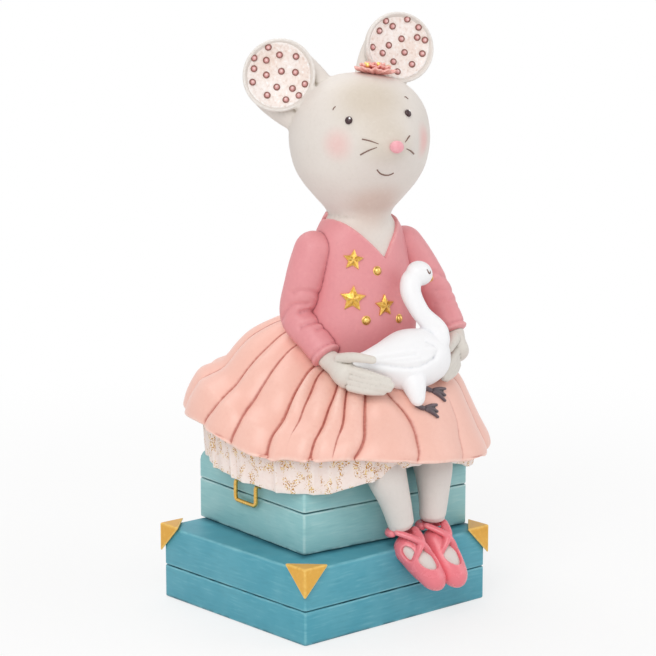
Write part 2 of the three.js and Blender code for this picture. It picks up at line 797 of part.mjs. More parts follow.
// A point near the head, from the direction it faces, height over its centre and reach from its axis
function fromHead(degrees, height, reach) {
  const turn = radians(headTurn + degrees);
  return vec(reach * Math.sin(turn), -reach * Math.cos(turn), height).add(headCentre);
}

// Places of the eyes from the direction that the head faces, their middles a little off the skin
const eyes = {
  right: { degrees: -30.4, height: 0.336 * headRadius, out: 0.42 },
  left: { degrees: 20.3, height: 0.413 * headRadius, out: 0.53 },
};

// Ears: a spoon that grows out of the head and opens forward
const ears = {
  right: { side: -headRadius - 2.9, height: headTop - 1.3, lean: 48, swing: -14 },
  left: { side: headRadius - 7.9, height: headTop + 7.1, lean: -24, swing: -5 },
};
const earBehind = 5; // the ears stand this far behind the middle of the head
const earTip = 8; // degrees that they tip back

// Frame of an ear's face: across, up along the ear, and out of the lining
function earFrame({ side, height, lean, swing }) {
  const place = headCentre.clone();
  const turn = radians(headTurn);
  place.add(vec(side * Math.cos(turn), side * Math.sin(turn), height));
  place.add(vec(-Math.sin(turn), Math.cos(turn), 0).multiplyScalar(earBehind));
  const frame = new THREE.Matrix4().makeRotationZ(radians(headTurn + swing));
  frame.multiply(new THREE.Matrix4().makeRotationY(radians(-lean)));
  frame.multiply(new THREE.Matrix4().makeRotationX(radians(90 - earTip)));
  frame.setPosition(place);
  return frame;
}

// In the ear's frame x runs across, y up the ear and z out of its face
function earForm(ear, margin = 0) {
  const spoon = limb({
    through: [vec(0, -25, -5), vec(0, -14, -3.6), vec(0, -4, -2.4), vec(0, 6, -2.2), vec(0, 14.2, -2.2)],
    radii: [6.5, 9, earWidth + 0.1, earWidth, 9].map((r) => r + margin),
    flat: [0.75, 0.36],
    up: vec(0, 0, 1),
    sides: 16,
    steps: 6,
    ends: [0.6, 0.9],
    round: 2,
  });
  return spoon.applyMatrix4(earFrame(ear));
}

function liningForm(ear, margin = 0) {
  const radius = liningRadius + margin;
  const open = margin ? 4 : 0; // room is open to the front
  const sunk = (share) => -liningSink * (1 - share * share);
  const back = [0.98, 0.6].map((share) => [radius * share, sunk(share) - liningThick - margin]);
  const front = [0.5, 1].map((share) => [radius * share, sunk(share) + open]);
  const profile = [[0, front[0][1] - 0.3], ...front, ...back, [0, back[1][1] - 0.3]];
  const geometry = revolve(profile, 16);
  geometry.translate(0, liningUp, liningOut);
  return geometry.applyMatrix4(earFrame(ear));
}

// Raised dots in rings over the lining
function liningDots(ear) {
  const dots = [];
  for (const [count, share] of [[4, 0.34], [10, 0.8]]) {
    for (let k = 0; k < count; k += 1) {
      const turn = ((k + 0.5 * share) / count) * 2 * Math.PI;
      const reach = liningRadius * share;
      const depth = -liningSink * (1 - share * share);
      const dot = new THREE.SphereGeometry(dotRadius, 5, 3).rotateX(Math.PI / 2);
      dot.translate(reach * Math.cos(turn), liningUp + reach * Math.sin(turn), liningOut + depth);
      dots.push(dot.applyMatrix4(earFrame(ear)));
    }
  }
  return dots;
}

// Flower on the crown: rings of round petals round a raised middle
function flowerForm() {
  const levels = [[0.2, 0], [1, 0.3], [1.02, 0.6], [0.7, 0.8], [0.45, 1], [0.1, 0.9]];
  const rings = levels.map(([share, rise], row) => ringOf(petalCount * 3, (turn) => {
    const notch = 1 - Math.abs(Math.sin((turn * petalCount) / 2 + (row > 2 ? 0.8 : 0)));
    const reach = flowerRadius * share * (row > 0 ? 1 - petalNotch * notch : 1);
    return vec(reach * Math.cos(turn), reach * Math.sin(turn), flowerHeight * rise);
  }));
  return onCrown(loft(rings));
}

// Sets a form of the flower on the head, where it follows the slope of the crown
function onCrown(geometry) {
  const place = fromHead(52, headTop - flowerSink, 5.2);
  return geometry.rotateY(radians(7)).translate(place.x, place.y, place.z);
}

// Gold beads on the flower: direction round it and distance from its middle
const beads = [[-150, 3.2], [-75, 4.6], [-20, 2.4], [60, 4.4]];

function beadForm([degrees, reach]) {
  const turn = radians(degrees);
  const rise = flowerHeight * (1.28 - 0.085 * reach);
  const bead = new THREE.SphereGeometry(beadRadius, 6, 4);
  return onCrown(bead.translate(reach * Math.sin(turn), -reach * Math.cos(turn), rise));
}

// Swan
const swanFoot = vec(figure.x + 0.3, figure.y - 33.3, 0); // where its near foot lies on the lap
const swanCentre = vec(figure.x - 4.4, figure.y - 25.6, lapHeight(swanFoot.x, swanFoot.y) + swanRise);
const swanTurn = -9; // its body lies across the lap, chest a little forward

function swanForms() {
  const along = (share, side, rise) => {
    const turn = radians(swanTurn);
    const x = (share * swanLength) / 2;
    return vec(
      swanCentre.x + x * Math.cos(turn) - side * Math.sin(turn),
      swanCentre.y + x * Math.sin(turn) + side * Math.cos(turn),
      swanCentre.z + rise,
    );
  };
  const body = limb({
    through: [
      along(-1.12, 0, 1.6),
      along(-0.6, 0, 0.2),
      along(0, 0, -0.6),
      along(0.55, 0, -0.4),
      along(0.95, 0, 1.6),
    ],
    radii: [1.6, 5.4, swanDepth + 0.4, swanDepth, 5.2],
    flat: swanHeight / swanDepth,
    sides: 14,
    steps: 6,
    round: 2,
  });
  const head = along(0.54, 5, 26.8);
  const skull = egg(vec(5, 4.1, 4.1), head, new THREE.Euler(0, radians(22), radians(8)), 10, 7);
  const thigh = limb({
    through: [along(0.08, -3, -4), along(0.06, -6.5, -9), along(0.06, -9, -14.6)],
    radii: [6, 4.6, 2.4],
    sides: 8,
    steps: 3,
    round: 2,
  });
  const neck = limb({
    through: [
      along(0.62, -1, 1),
      along(0.7, -0.5, 7.5),
      along(0.42, 1.5, 15),
      along(0.33, 4.2, 21.5),
      along(0.4, 5, 25.5),
      along(0.5, 5, 27),
    ],
    radii: [6.6, 4.4, swanNeck, swanNeck, 3.5, 3.6],
    sides: 10,
    steps: 8,
    round: 2,
    up: vec(0.2, 1, 0),
  });
  return { forms: [body, neck, skull, thigh], head, along };
}

// Arms
const side = { right: -1, left: 1 };
const fromShoulder = (x, y, drop) => vec(figure.x + x, figure.y + y, neckZ - drop);
const shoulderAt = {
  right: fromShoulder(3.4 - bodiceWidth, 1.6, 7.6),
  left: fromShoulder(bodiceWidth - 4.6, -0.5, 9.5),
};

// A place of a hand from the middle of the figure, with its rise over the lap there
function overLap(x, y, rise) {
  const place = vec(figure.x + x, figure.y + y, 0);
  return place.setZ(lapHeight(place.x, place.y) + rise);
}

const handAt = {
  right: {
    wrist: overLap(-21.4, -8.5, 4.65),
    knuckles: overLap(-21.2, -22, 4.7),
    tips: overLap(-13.6, -31, 8.6),
    thumb: overLap(-18.6, -28.8, 17.25),
  },
  left: {
    wrist: overLap(28, -17.4, 12.3),
    knuckles: overLap(22.5, -23.4, 7.8),
    tips: overLap(10.8, -29.6, 5.3),
    thumb: overLap(15, -28, 12.6),
  },
};
const elbowAt = {
  right: vec(figure.x - bodiceWidth - 2.8, figure.y + 5, handAt.right.wrist.z + 12.6),
  left: vec(figure.x + bodiceWidth + 7.4, figure.y - 8, handAt.left.wrist.z + 13.8),
};
const arm = {
  right: { shoulder: shoulderAt.right, elbow: elbowAt.right, ...handAt.right },
  left: { shoulder: shoulderAt.left, elbow: elbowAt.left, ...handAt.left },
};

function sleeveForm({ shoulder, elbow, wrist }) {
  const upper = shoulder.clone().lerp(elbow, 0.55).add(vec(Math.sign(elbow.x - figure.x) * 1.4, 0, 0));
  const fore = elbow.clone().lerp(wrist, 0.55);
  return limb({
    through: [shoulder.clone().add(vec(0, 0, 2)), upper, elbow, fore, wrist],
    radii: [sleeveRadius, sleeveRadius + 0.3, sleeveRadius, cuffRadius + 0.6, cuffRadius],
    sides: 12,
    steps: 6,
    up: vec(0, 1, 0.3),
    ends: [1, 0.25],
    round: 2,
  });
}

// Palm, four fingers side by side and a thumb
function handForms({ elbow, wrist, knuckles, tips, thumb }) {
  const into = elbow.clone().sub(wrist).normalize();
  const reach = knuckles.clone().sub(wrist).normalize();
  const digit = (through, radii) => limb({ through, radii, sides: 6, steps: 2, round: 1 });
  const inCuff = wrist.clone().addScaledVector(into, cuffCover);
  const forms = [
    limb({
      through: [inCuff, wrist, wrist.clone().lerp(knuckles, 0.55), knuckles],
      radii: [wristRadius, wristRadius, palmRadius, palmRadius],
      up: vec(0, 1, 0.2),
      sides: 10,
      steps: 3,
      ends: [0.4, 0.7],
      round: 2,
    }),
  ];
  for (let finger = 0; finger < 4; finger += 1) {
    const lift = vec(0, 0, (1.5 - finger) * fingerPitch);
    const root = knuckles.clone().addScaledVector(reach, -1.5).add(lift);
    const tip = knuckles.clone().lerp(tips, finger === 3 ? 0.86 : 1).add(lift);
    const mid = root.clone().lerp(tip, 0.5).addScaledVector(reach, 1.8);
    forms.push(digit([root, mid, tip], [fingerRadius, fingerRadius, 0.86 * fingerRadius]));
  }
  const thumbRoot = wrist.clone().lerp(knuckles, 0.4).add(vec(0, 0, 2));
  const outward = Math.sign(wrist.x - figure.x);
  const thumbMid = thumbRoot.clone().lerp(thumb, 0.55).add(vec(1.4 * outward, 0, 1));
  forms.push(digit([thumbRoot, thumbMid, thumb], [thumbRadius, 0.9 * thumbRadius, 0.68 * thumbRadius]));
  return forms;
}

// Legs in tights, each with its foot, and the shoes over them
const legFront = -upperDepth / 2 + upperY; // front wall of the upper case
const footWay = { right: vec(7.5, -17.8, -16.8).normalize(), left: vec(1.2, -17.8, -16.8).normalize() };
const knee = {
  right: vec(figure.x - kneeRight, legFront - kneeRadius - kneeStand, seatZ),
  left: vec(figure.x + kneeLeft, legFront - kneeRadius - kneeStand, seatZ),
};

// The room of a thigh and knee in the petticoat, open below and to the front
function kneeRoom({ x, y }) {
  const width = 2 * (kneeRadius + gap);
  const depth = 2 * thighLength + width;
  const room = block(width, depth, kneeRadius, [[seatZ - thighLength, 0], [seatZ + thighRise, 0]]);
  return room.translate([x, y, 0]);
}

function legForms(name) {
  const { x, y } = knee[name];
  const ankleX = figure.x + 0.5 + (side[name] * ankleSpread) / 2;
  const ankle = vec(ankleX, -lowerDepth / 2, lowerTop + ankleRise);
  const shin = limb({
    through: [
      vec(x, y + thighLength, seatZ + thighRise + 1.5),
      vec(x, y + 3, seatZ + thighRise),
      knee[name],
      knee[name].clone().lerp(ankle, 0.5).add(vec(0, -0.6, 0)),
      ankle,
    ],
    radii: [6, kneeRadius, kneeRadius, 5.3, ankleRadius],
    sides: 10,
    steps: 5,
    up: vec(1, 0, 0),
    ends: [0.5, 0.5],
    round: 2,
  });
  const heel = ankle.clone().add(vec(0, 2.2, -3.2));
  const instep = vec(0, -0.75, 0.66);
  const at = (share, rise) =>
    heel.clone().addScaledVector(footWay[name], share * footLength).addScaledVector(instep, rise);
  const foot = limb({
    through: [at(0, 0), at(0.3, 0.4), at(0.62, -0.2), at(0.85, -0.9), at(1, -1.4)],
    radii: [3.4, 3.9, 4.2, 3.7, 2.6],
    flat: [1.05, 0.8],
    sides: 10,
    steps: 3,
    up: vec(1, 0, 0),
    round: 2,
  });
  return { shin, foot, at, ankle };
}

function shoeForms(leg) {
  const shell = solid(swell(leg.foot, gap + shoeThick));
  const { at, ankle } = leg;
  const opening = solid(egg(vec(3.5, 4.6, 5), at(0.52, 5), new THREE.Euler(radians(-38), 0, 0), 9, 5));
  const ribbon = (through, radius, flat, up, steps) =>
    solid(limb({ through, radii: [radius, radius], flat, up, sides: 5, steps, round: 1 }));
  // From one side of the foot over the instep to the other side of the ankle
  const strap = (towards) => {
    const from = at(0.5, 1).add(vec(-towards * strapSpread, 0, 0));
    const to = ankle.clone().add(vec(towards * strapSpread, 0, -1));
    const middle = from.clone().lerp(to, 0.5).add(vec(0, -3.4, 1.7));
    return ribbon([from, middle, to], strapRadius, 1.4, vec(0, 0.6, 0.8), 3);
  };
  const band = [vec(-4.6, 0.5, -2.6), vec(0, 4.4, -1.2), vec(4.6, 0.5, -2.6)].map((p) => p.add(ankle));
  const heelBand = ribbon(band, 1.2 * strapRadius, 1.6, vec(0, 0, 1), 4);
  return join([cut(shell, opening), strap(1), strap(-1), heelBand]);
}

// Five-pointed star with a raised middle, facing forward on the chest
function starForm(radius, turn) {
  const outline = (share, z) => Array.from({ length: 10 }, (_, k) => {
    const reach = radius * share * (k % 2 ? 0.5 : 1);
    const at = ((k / 10) + turn / 360) * 2 * Math.PI;
    return vec(reach * Math.sin(at), reach * Math.cos(at), z);
  });
  return loft([outline(1, -0.4), outline(1, starThick * 0.4), outline(0.35, starThick)]);
}

// Places on the front of the bodice: sideways and below the neckline
const stars = [
  { name: "star_top", across: -11.9, below: 14.4, radius: 3.6, turn: 8 },
  { name: "star_right", across: -13.5, below: 27, radius: 4.5, turn: 4 },
  { name: "star_left", across: -3.5, below: 29.8, radius: 3.8, turn: 0 },
];
const studs = [
  { name: "stud_top", across: -4.7, below: 18.3 },
  { name: "stud_right", across: -10.2, below: 34.2 },
  { name: "stud_left", across: 2.8, below: 34.8 },
];

// Turns an ornament to the bodice's surface and sets it there
function onBodice(geometry, { across, below }, lift) {
  const lower = torso.findLast((row) => below <= row.below);
  const upper = torso[torso.indexOf(lower) + 1];
  const share = (below - upper.below) / (lower.below - upper.below);
  const wide = lerp(upper.wide, lower.wide, share);
  const deep = lerp(upper.deep, lower.deep, share);
  const forward = lerp(upper.forward, lower.forward, share);
  const turn = Math.asin(across / wide);
  const normal = vec(Math.sin(turn) / wide, -Math.cos(turn) / deep, 0).normalize();
  normal.z = ((lower.deep - upper.deep) / (lower.below - upper.below)) * 0.8;
  normal.normalize();
  const place = vec(figure.x + across, figure.y - forward - deep * Math.cos(turn), neckZ - below);
  const frame = new THREE.Matrix4().lookAt(place, place.clone().sub(normal), vec(0, 0, 1));
  frame.setPosition(place.addScaledVector(normal, lift));
  return geometry.applyMatrix4(frame);
}

const legs = { right: legForms("right"), left: legForms("left") };
const swan = swanForms();
const hands = { right: handForms(arm.right), left: handForms(arm.left) };
const swanRoom = solidOf(swan.forms, gap);
const torsoRoom = solid(torsoForm(gap));
const skirtRoom = solid(swell(skirtForm(), gap));
const headRoom = solid(headForm(gap));

function buildDress() {
  const bodice = cut(solid(torsoForm()), headRoom, necklineWedge());
  const legRooms = Object.values(legs).map(({ shin }) => solid(swell(shin, gap)));
  const skirt = cut(solid(skirtForm()), torsoRoom, ...legRooms);
  const petticoat = cut(
    solid(petticoatForm()),
    upperRoomFrom(0),
    torsoRoom,
    ...legRooms,
    ...Object.values(knee).map(kneeRoom),
    skirtRoom,
  );
  piece("bodice", mainPiece(bodice), finish.rose);
  piece("skirt", mainPiece(skirt), finish.peach);
  piece("petticoat", mainPiece(petticoat), finish.petticoat);
}

function buildHead() {
  const chest = solid(torsoForm(-skinUnder)).intersect(necklineWedge(-gap));
  const lip = solid(headForm(earLip));
  const lipRoom = solid(headForm(earLip + gap));
  for (const name of ["right", "left"]) {
    const ear = ears[name];
    const dish = cut(solid(liningForm(ear, gap)), lip);
    const lining = cut(join([solid(liningForm(ear)), ...liningDots(ear).map(solid)]), lipRoom);
    const shell = cut(solid(earForm(ear)), dish, headRoom);
    piece(`ear_${name}`, mainPiece(shell), finish.fur);
    piece(`ear_lining_${name}`, mainPiece(lining), finish.lining);
  }
  const nosePlace = fromHead(0.6, -0.3, headRadius + snoutLength + 0.5);
  const nose = egg(vec(noseRadius, noseRadius, noseRadius), nosePlace, new THREE.Euler(), 8, 6);
  piece("head", join([solid(headForm()), chest]), finish.fur);
  piece("nose", mainPiece(cut(solid(nose), headRoom)), finish.nose);
  for (const [name, { degrees, height, out }] of Object.entries(eyes)) {
    const sizes = vec(eyeRadius, 0.7 * eyeRadius, 1.15 * eyeRadius);
    const turn = new THREE.Euler(0, 0, radians(headTurn + degrees));
    const place = fromHead(degrees, height, skinReach(degrees, height) + out);
    const eye = egg(sizes, place, turn, 7, 5);
    piece(`eye_${name}`, mainPiece(cut(solid(eye), headRoom)), finish.eye);
  }
  const earRoom = solid(earForm(ears.left, gap));
  piece("hair_flower", mainPiece(cut(solid(flowerForm()), headRoom, earRoom)), finish.coral);
  const flowerRoom = solid(swell(flowerForm(), gap));
  beads.forEach((bead, k) => {
    const seated = cut(solid(beadForm(bead)), flowerRoom);
    piece(`flower_bead_${k + 1}`, mainPiece(seated), finish.gold);
  });
}

function buildOrnaments() {
  for (const star of stars) {
    const form = onBodice(starForm(star.radius, star.turn), star, gap);
    piece(star.name, cut(solid(form), torsoRoom), finish.gold);
  }
  for (const stud of studs) {
    const ball = new THREE.SphereGeometry(studRadius, 7, 5);
    piece(stud.name, cut(solid(onBodice(ball, stud, gap)), torsoRoom), finish.gold);
  }
}

// A shank that lies on the lap and widens into a web
function webForm([fromX, fromY], [toX, toY]) {
  const onLap = (x, y) => vec(figure.x + x, figure.y + y, 0);
  const [from, to] = [onLap(fromX, fromY), onLap(toX, toY)];
  for (const end of [from, to]) end.setZ(lapHeight(end.x, end.y) + footLift);
  const ahead = to.clone().sub(from).normalize();
  const across = vec(-ahead.y, ahead.x, 0).normalize();
  const web = [[0, 0.9, 0.9], [0.45, 0.9, 0.8], [0.7, 2.2, 0.7], [1, 3.2, 0.7]];
  return loft(web.map(([share, half, thick]) => {
    const at = from.clone().lerp(to, share);
    const corner = (u, w) => at.clone().addScaledVector(across, u * half).add(vec(0, 0, w * thick));
    return [corner(-1, -1), corner(0, -1), corner(1, -1), corner(1, 1), corner(0, 1), corner(-1, 1)];
  }));
}

function buildSwan() {
  const beak = limb({
    through: [swan.head.clone().add(vec(3.2, 0.6, -1)), swan.head.clone().add(vec(7.2, 2, -3.6))],
    radii: [1.6, 0.7],
    flat: 0.7,
    sides: 7,
    steps: 1,
    round: 2,
  });
  const feet = {
    swan_foot_near: webForm([-4.6, -32.6], [5.2, -34]),
    swan_foot_far: webForm([3, -29], [11.2, -30.8]),
  };
  piece("swan_body", mainPiece(cut(solidOf(swan.forms), torsoRoom, skirtRoom)), finish.swan);
  piece("swan_beak", cut(solid(beak), swanRoom), finish.beak);
  for (const [name, form] of Object.entries(feet)) {
    piece(name, mainPiece(cut(solid(form), swanRoom, skirtRoom)), finish.webbed);
  }
}

function buildArms() {
  for (const name of ["right", "left"]) {
    const hand = cut(solidOf(hands[name]), swanRoom, torsoRoom, skirtRoom);
    const handRoom = solidOf(hands[name], gap);
    const sleeve = cut(solid(sleeveForm(arm[name])), torsoRoom, handRoom, headRoom, swanRoom, skirtRoom);
    piece(`hand_${name}`, mainPiece(hand), finish.fur);
    piece(`sleeve_${name}`, mainPiece(sleeve), finish.rose);
  }
}

// The left foot rests against the right shoe
function buildLegs() {
  const rightShoe = solid(swell(legs.right.foot, 2 * gap + shoeThick));
  const taken = { right: [], left: [rightShoe] };
  for (const name of ["right", "left"]) {
    const { shin, foot } = legs[name];
    const room = [upperRoomFrom(0), lowerRoom(), ...taken[name]];
    const leg = cut(solidOf([shin, foot]), ...room);
    const shoe = cut(shoeForms(legs[name]), solidOf([shin, foot], gap), ...room);
    piece(`leg_${name}`, mainPiece(leg), finish.tights);
    piece(`shoe_${name}`, mainPiece(shoe), finish.shoe);
  }
}

buildLowerCase();
buildCornerCaps();
buildUpperCase();
buildDress();
buildHead();
buildOrnaments();
buildSwan();
buildArms();
buildLegs();
piece("stopper", stopperForm(), finish.rubber);

// The row's origin: the middle of the whole object's footprint, on the table
const footprint = new THREE.Box3().setFromObject(model);
const centre = footprint.getCenter(vec(0, 0, 0));
model.position.set(-centre.x, -centre.y, 0);

export default model;
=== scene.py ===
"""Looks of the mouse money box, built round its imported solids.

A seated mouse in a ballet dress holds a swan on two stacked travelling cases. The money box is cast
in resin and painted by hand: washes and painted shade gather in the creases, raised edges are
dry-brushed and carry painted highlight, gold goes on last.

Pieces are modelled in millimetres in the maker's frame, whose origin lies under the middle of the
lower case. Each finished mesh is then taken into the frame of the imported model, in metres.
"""
import json
import logging
import math
from collections.abc import Callable, Iterable, Sequence
from dataclasses import dataclass, field
from enum import Enum
from functools import cached_property, partial
from typing import ClassVar

import bmesh
import bpy
import numpy as np
from mathutils import Matrix, Vector
from mathutils.bvhtree import BVHTree

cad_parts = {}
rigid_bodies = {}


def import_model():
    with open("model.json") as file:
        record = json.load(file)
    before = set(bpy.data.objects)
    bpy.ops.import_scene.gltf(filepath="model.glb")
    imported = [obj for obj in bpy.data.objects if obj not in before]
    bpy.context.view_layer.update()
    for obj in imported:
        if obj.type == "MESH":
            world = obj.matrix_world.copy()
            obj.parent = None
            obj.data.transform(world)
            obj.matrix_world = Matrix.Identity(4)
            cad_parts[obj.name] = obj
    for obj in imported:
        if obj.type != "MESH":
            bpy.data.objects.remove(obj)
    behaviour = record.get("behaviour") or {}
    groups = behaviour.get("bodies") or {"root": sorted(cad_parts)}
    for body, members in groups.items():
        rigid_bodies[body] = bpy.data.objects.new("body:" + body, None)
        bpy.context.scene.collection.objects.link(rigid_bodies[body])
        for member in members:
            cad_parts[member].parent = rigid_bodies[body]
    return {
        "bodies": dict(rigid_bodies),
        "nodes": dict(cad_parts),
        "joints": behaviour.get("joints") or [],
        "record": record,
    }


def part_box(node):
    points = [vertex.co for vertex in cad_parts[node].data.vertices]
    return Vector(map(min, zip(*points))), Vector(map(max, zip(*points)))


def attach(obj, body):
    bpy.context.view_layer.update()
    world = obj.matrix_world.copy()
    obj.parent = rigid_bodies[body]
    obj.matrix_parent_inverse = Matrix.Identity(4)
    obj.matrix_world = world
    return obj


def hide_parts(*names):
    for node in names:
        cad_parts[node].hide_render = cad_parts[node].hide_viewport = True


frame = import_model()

log = logging.getLogger("money_box")

MM = 0.001
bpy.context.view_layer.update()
_tray_low, _tray_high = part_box("lower_case_tray")
SHIFT = Vector(((_tray_low.x + _tray_high.x) / 2, (_tray_low.y + _tray_high.y) / 2, 0)) / MM

Colour = tuple[float, float, float]
Ring = list[Vector]


class Body(Enum):
    """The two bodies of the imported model."""

    FIGURE = "figure"
    STOPPER = "stopper"


class End(Enum):
    """How an end of a skin is closed."""

    POINT = "point"
    FLAT = "flat"


def rgb(code: str) -> Colour:
    """Linear colour of a six-figure hexadecimal screen colour."""
    shares = (int(code[k : k + 2], 16) / 255 for k in (0, 2, 4))
    return tuple(s / 12.92 if s <= 0.04045 else ((s + 0.055) / 1.055) ** 2.4 for s in shares)


def vec(x: float, y: float, z: float) -> Vector:
    """A point or direction in millimetres."""
    return Vector((x, y, z))


def mix(a: float, b: float, share: float) -> float:
    """The value a share of the way from a to b."""
    return a + (b - a) * share


def ease(low: float, high: float, value: float) -> float:
    """Smooth step from 0 at low to 1 at high."""
    share = min(max((value - low) / (high - low), 0.0), 1.0)
    return share * share * (3 - 2 * share)


# Smooth lines


def hermite(a, slope_a, b, slope_b, t: float, span: float = 1.0):
    """Cubic from a to b over a span, with a slope at each end, for numbers, points or rows."""
    return (
        a * (2 * t**3 - 3 * t**2 + 1)
        + slope_a * (t**3 - 2 * t**2 + t) * span
        + b * (3 * t**2 - 2 * t**3)
        + slope_b * (t**3 - t**2) * span
    )


def follow(values: Sequence, u: float):
    """Smooth curve through evenly spaced numbers or points.

    Args:
        values: What the curve passes through, first to last.
        u: Place on the curve, from 0 to 1.

    Returns:
        The number or point at u.
    """
    spans = len(values) - 1
    place = min(max(u, 0.0), 1.0) * spans
    k = min(int(place), spans - 1)
    t = place - k
    a, b = values[k], values[k + 1]
    before, after = values[max(k - 1, 0)], values[min(k + 2, spans)]
    slope_a, slope_b = (b - before) * 0.5, (after - a) * 0.5
    return hermite(a, slope_a, b, slope_b, t)


class Line:
    """A smooth line through points, measured along its own length."""

    SAMPLES = 160
    STEP = 0.004

    def __init__(self, points: Sequence[Vector]) -> None:
        """Samples the line once, so that places on it can be found by length."""
        self._points = [Vector(p) for p in points]
        self._samples = [self._raw(k / self.SAMPLES) for k in range(self.SAMPLES + 1)]
        self._run = [0.0]
        for a, b in zip(self._samples, self._samples[1:]):
            self._run.append(self._run[-1] + (b - a).length)
        self.length = self._run[-1]

    def _raw(self, u: float) -> Vector:
        """A point of the centripetal curve, unevenly spaced."""
        points, spans = self._points, len(self._points) - 1
        place = min(max(u, 0.0), 1.0) * spans
        k = min(int(place), spans - 1)
        t = place - k
        b, c = points[k], points[k + 1]
        a = points[k - 1] if k > 0 else b * 2 - c
        d = points[k + 2] if k + 2 <= spans else c * 2 - b
        ab, bc, cd = ((q - p).length ** 0.5 for p, q in ((a, b), (b, c), (c, d)))
        slope_b = ((b - a) / ab - (c - a) / (ab + bc) + (c - b) / bc) * bc
        slope_c = ((c - b) / bc - (d - b) / (bc + cd) + (d - c) / cd) * bc
        return hermite(b, slope_b, c, slope_c, t)

    def at(self, share: float) -> Vector:
        """The point a share of the length along the line."""
        goal = min(max(share, 0.0), 1.0) * self.length
        k = min(max(int(np.searchsorted(self._run, goal)), 1), len(self._run) - 1)
        low, high = self._run[k - 1], self._run[k]
        return self._samples[k - 1].lerp(self._samples[k], (goal - low) / max(high - low, 1e-9))

    def along(self, share: float) -> Vector:
        """Direction of the line at a share of its length."""
        ahead, behind = min(share + self.STEP, 1), max(share - self.STEP, 0)
        return (self.at(ahead) - self.at(behind)).normalized()


# Hand tools of the modelling bench


